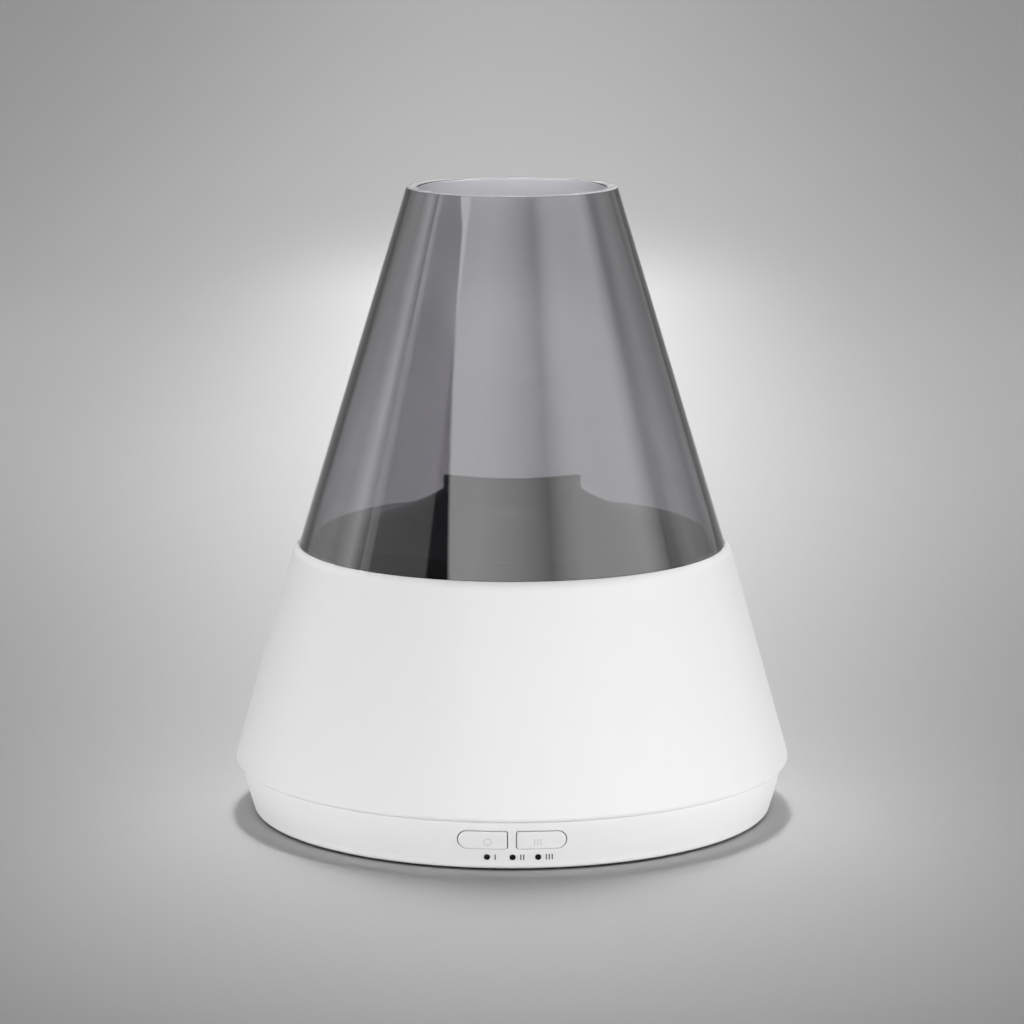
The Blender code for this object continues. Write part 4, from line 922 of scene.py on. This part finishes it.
def panel(name, levels, low, high, lean=None, shelf=None):
    """A softbox on a circle round the object, lit unevenly across.

    levels are (azimuth, radiance) pairs, azimuth 0 at the camera and 90 on the right.
    lean gives the azimuths of a slanted left edge at its foot and its top. shelf gives how
    bright it is above a slanted line, and the line's heights at its left and right side."""
    start, end = levels[0][0], levels[-1][0]
    middle, reach = math.radians((start + end) / 2.0), math.radians((end - start) / 2.0)
    wide, tall = 2.0 * PANEL_DISTANCE * math.tan(reach), high - low
    lean_sharpness, shelf_sharpness = 40.0, 30.0
    lamp = bpy.data.lights.new(name, "AREA")
    lamp.shape = "RECTANGLE"
    lamp.size, lamp.size_y = wide, tall
    lamp.energy = math.pi * wide * tall
    lamp.use_nodes = True
    tree = lamp.node_tree
    emission = tree.nodes["Emission"]

    def along(azimuth):
        return (1.0 + math.tan(math.radians(azimuth) - middle) / math.tan(reach)) / 2.0

    def number(operation, first, second, third=0.0):
        """A Math node's result from sockets or numbers."""
        node = tree.nodes.new("ShaderNodeMath")
        node.operation = operation
        for socket, value in zip(node.inputs, (first, second, third)):
            if isinstance(value, float):
                socket.default_value = value
            else:
                tree.links.new(value, socket)
        return node.outputs[0]

    place = tree.nodes.new("ShaderNodeNewGeometry")
    split = tree.nodes.new("ShaderNodeSeparateXYZ")
    tree.links.new(place.outputs["Parametric"], split.inputs["Vector"])
    across, up = split.outputs["X"], split.outputs["Y"]
    peak = max(level for azimuth, level in levels)
    ramp = tree.nodes.new("ShaderNodeValToRGB")
    stops = ramp.color_ramp.elements
    while len(stops) < len(levels):
        stops.new(0.5)
    for stop, (azimuth, level) in zip(stops, levels):
        stop.position = along(azimuth)
        stop.color = (level / peak,) * 3 + (1.0,)
    tree.links.new(across, ramp.inputs["Fac"])
    tree.links.new(ramp.outputs["Color"], emission.inputs["Color"])
    strength = None
    if lean:
        foot, top = along(lean[0]), along(lean[1])
        edge = number("MULTIPLY_ADD", up, top - foot, foot)
        inside = number("MULTIPLY", number("SUBTRACT", across, edge), lean_sharpness)
        clamped = number("MINIMUM", number("MAXIMUM", inside, 0.0), 1.0)
        strength = number("MULTIPLY", clamped, peak)
    if shelf:
        gain, left, right = shelf
        left, right = (left - low) / tall, (right - low) / tall
        line = number("MULTIPLY_ADD", across, right - left, left)
        above = number("MULTIPLY", number("SUBTRACT", up, line), shelf_sharpness)
        clamped = number("MINIMUM", number("MAXIMUM", above, 0.0), 1.0)
        strength = number("MULTIPLY_ADD", clamped, peak * (gain - 1.0), peak)
    if strength:
        tree.links.new(strength, emission.inputs["Strength"])
    else:
        emission.inputs["Strength"].default_value = peak
    obj = bpy.data.objects.new(name, lamp)
    away = Vector((math.sin(middle), -math.cos(middle), 0.0))
    obj.location = away * PANEL_DISTANCE + Vector((0.0, 0.0, (low + high) / 2.0))
    obj.rotation_euler = away.to_track_quat("Z", "Y").to_euler()
    place_lamp(obj, "product")
    obj.visible_diffuse = False


def fill(name, azimuth, wide, tall, radiance):
    """A plain softbox standing near the floor, that shows in no reflection."""
    lamp = bpy.data.lights.new(name, "AREA")
    lamp.shape = "RECTANGLE"
    lamp.size, lamp.size_y = wide, tall
    lamp.energy = radiance * math.pi * wide * tall
    obj = bpy.data.objects.new(name, lamp)
    turn = math.radians(azimuth)
    away = Vector((math.sin(turn), -math.cos(turn), 0.0))
    obj.location = away * PANEL_DISTANCE + Vector((0.0, 0.0, tall / 2.0))
    obj.rotation_euler = away.to_track_quat("Z", "Y").to_euler()
    place_lamp(obj, "product")
    obj.visible_glossy = False


def place_lamp(obj, lights_up):
    """Hides a lamp itself from view, and keeps its light off the backdrop or not."""
    obj.visible_camera = False
    obj.visible_transmission = False
    bpy.context.scene.collection.objects.link(obj)
    if lights_up == "product":
        obj.light_linking.receiver_collection = bpy.data.collections["product_only"]


def overhead(name, place, aim, wide, deep, radiance, spread, seen=True):
    """A rectangular softbox above, whose grid keeps its light within spread degrees.

    One that isn't seen shows in no reflection."""
    lamp = bpy.data.lights.new(name, "AREA")
    lamp.shape = "RECTANGLE"
    lamp.size, lamp.size_y = wide, deep
    lamp.energy = radiance * math.pi * wide * deep
    lamp.spread = math.radians(spread)
    obj = bpy.data.objects.new(name, lamp)
    obj.location = place
    obj.rotation_euler = (Vector(place) - Vector(aim)).to_track_quat("Z", "Y").to_euler()
    place_lamp(obj, "all")
    obj.visible_glossy = seen


def lights():
    """The softboxes, and a faint even light from all round."""
    panel("left_box", [(-142, 0.2), (-126, 1.0), (-116, 1.6), (-110, 1.7), (-104, 2.5),
                       (-97, 3.8), (-90, 1.8), (-82, 0.8)], low=0.05, high=1.10)
    panel("grey_box", [(-88, 1.1), (-48, 1.1), (-46, 0.0)], low=0.10, high=1.15,
          shelf=(2.1, 0.50, 0.66))
    panel("front_box", [(-60, 5.2), (-20, 5.6), (0, 4.4), (22, 2.3)], low=0.15, high=1.15,
          lean=(-3.5, -69))
    panel("right_box", [(22, 2.3), (32, 4.3), (40, 5.2), (78, 5.2), (86, 3.6), (94, 1.5)],
          low=0.10, high=1.15)
    panel("right_strip", [(94, 1.5), (100, 1.4), (104, 1.8), (112, 1.8), (120, 1.2),
                          (132, 0.5), (146, 0.4)], low=0.05, high=1.0)
    fill("right_fill", azimuth=66.0, wide=1.1, tall=0.28, radiance=10.2)
    fill("left_fill", azimuth=-64.0, wide=1.0, tall=0.28, radiance=8.3)
    fill("front_fill", azimuth=0.0, wide=0.6, tall=0.28, radiance=9.8)
    overhead("top_box", (0.0, 0.95, 1.5), (0.0, 0.85, 0.0), wide=1.2, deep=1.0, radiance=1.38,
             spread=130.0)
    overhead("pool_box", (0.0, 0.845, 0.87), (0.0, 0.515, 0.0), wide=0.18, deep=1.39,
             radiance=0.70, spread=20.0, seen=False)
    overhead("far_pool_box", (0.0, 1.30, 1.0), (0.0, 1.00, 0.0), wide=0.30, deep=1.50,
             radiance=0.50, spread=44.0, seen=False)
    world = bpy.data.worlds.new("studio")
    world.use_nodes = True
    background = world.node_tree.nodes["Background"]
    background.inputs["Color"].default_value = (1.0, 1.0, 1.0, 1.0)
    background.inputs["Strength"].default_value = 0.08
    bpy.context.scene.world = world


def camera():
    """The camera, level from side to side and tilted a little down."""
    data = bpy.data.cameras.new("camera")
    data.lens = CAMERA_LENS
    data.sensor_width = CAMERA_SENSOR
    obj = bpy.data.objects.new("camera", data)
    obj.location = CAMERA_PLACE
    obj.rotation_euler = (math.pi / 2.0 - CAMERA_PITCH, 0.0, 0.0)
    bpy.context.scene.collection.objects.link(obj)
    bpy.context.scene.camera = obj


# ---- assembly ------------------------------------------------------------------------------
finishes = {
    "white_plastic": moulded("white_plastic_fine", (0.80, 0.80, 0.805), 0.48),
    "white_cap": moulded("white_cap_fine", (0.79, 0.79, 0.795), 0.46),
    "tank_plastic": moulded("tank_plastic_fine", (0.76, 0.765, 0.77), 0.34),
    "dark_smoked_plastic": moulded("dark_smoked_fine", (0.022, 0.022, 0.024), 0.20,
                                   spread=0.008, tone=0.1, grain=0.0002),
    "black_plastic": moulded("black_plastic_fine", (0.022, 0.022, 0.024), 0.42,
                             spread=0.08, tone=0.15, grain=0.02),
    "lens_plastic": moulded("lens_plastic_fine", (0.008, 0.008, 0.009), 0.12,
                            spread=0.03, tone=0.2),
    "capacitor_sleeve": moulded("capacitor_sleeve_fine", (0.018, 0.022, 0.05), 0.32,
                                spread=0.06, tone=0.2),
    "red_wire": moulded("red_wire_fine", (0.42, 0.018, 0.015), 0.40, spread=0.06, tone=0.12),
    "black_wire": moulded("black_wire_fine", (0.020, 0.020, 0.022), 0.42, spread=0.06, tone=0.15),
    "white_wire": moulded("white_wire_fine", (0.70, 0.70, 0.68), 0.42, spread=0.06, tone=0.05),
    "grey_rubber": soft_rubber("grey_rubber_fine", (0.085, 0.085, 0.088), 0.78),
    "white_silicone": soft_rubber("white_silicone_fine", (0.70, 0.70, 0.69), 0.55),
    "silvered_ceramic": metal("silvered_ceramic_fine", (0.80, 0.78, 0.74), 0.38, 900.0),
    "aluminium": metal("aluminium_fine", (0.76, 0.77, 0.78), 0.34, 420.0, (0.12, 1.0, 1.0)),
    "zinc_steel": metal("zinc_steel_fine", (0.66, 0.66, 0.64), 0.28, 1600.0),
    "circuit_board": board("circuit_board_fine", (0.012, 0.11, 0.045), (0.03, 0.20, 0.08)),
    "lamp_board": board("lamp_board_fine", (0.74, 0.75, 0.74), (0.60, 0.61, 0.60)),
    "copper_winding": winding("copper_winding_fine"),
    "led_epoxy": lamp_resin("led_epoxy_fine"),
}
materials = {slot: finish.material for slot, finish in finishes.items()}
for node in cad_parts.values():
    for held in node.material_slots:
        held.material = materials.get(held.material.name, held.material)
faint_ink = moulded("symbol_ink", (0.60, 0.60, 0.61), 0.55, tone=0.04).material
dark_ink = moulded("tally_ink", (0.06, 0.06, 0.065), 0.55, tone=0.10).material
smoke_cone()
cover_shell(materials["white_plastic"])
mist_lid(materials["dark_smoked_plastic"])
base_shell(materials["white_plastic"])
button("button_light", -1.0, materials["white_cap"])
button("button_mist", 1.0, materials["white_cap"])
button_marks(faint_ink, dark_ink)
for number in (1, 2, 3):
    lens(number, materials["lens_plastic"])
for number in (1, 2, 3, 4):
    foot(number, materials["grey_rubber"])
dc_jack(materials["black_plastic"])
screws(materials["zinc_steel"])
tank_housing(materials["tank_plastic"])
stage()
lights()
camera()
bpy.context.scene.view_settings.view_transform = "Standard"
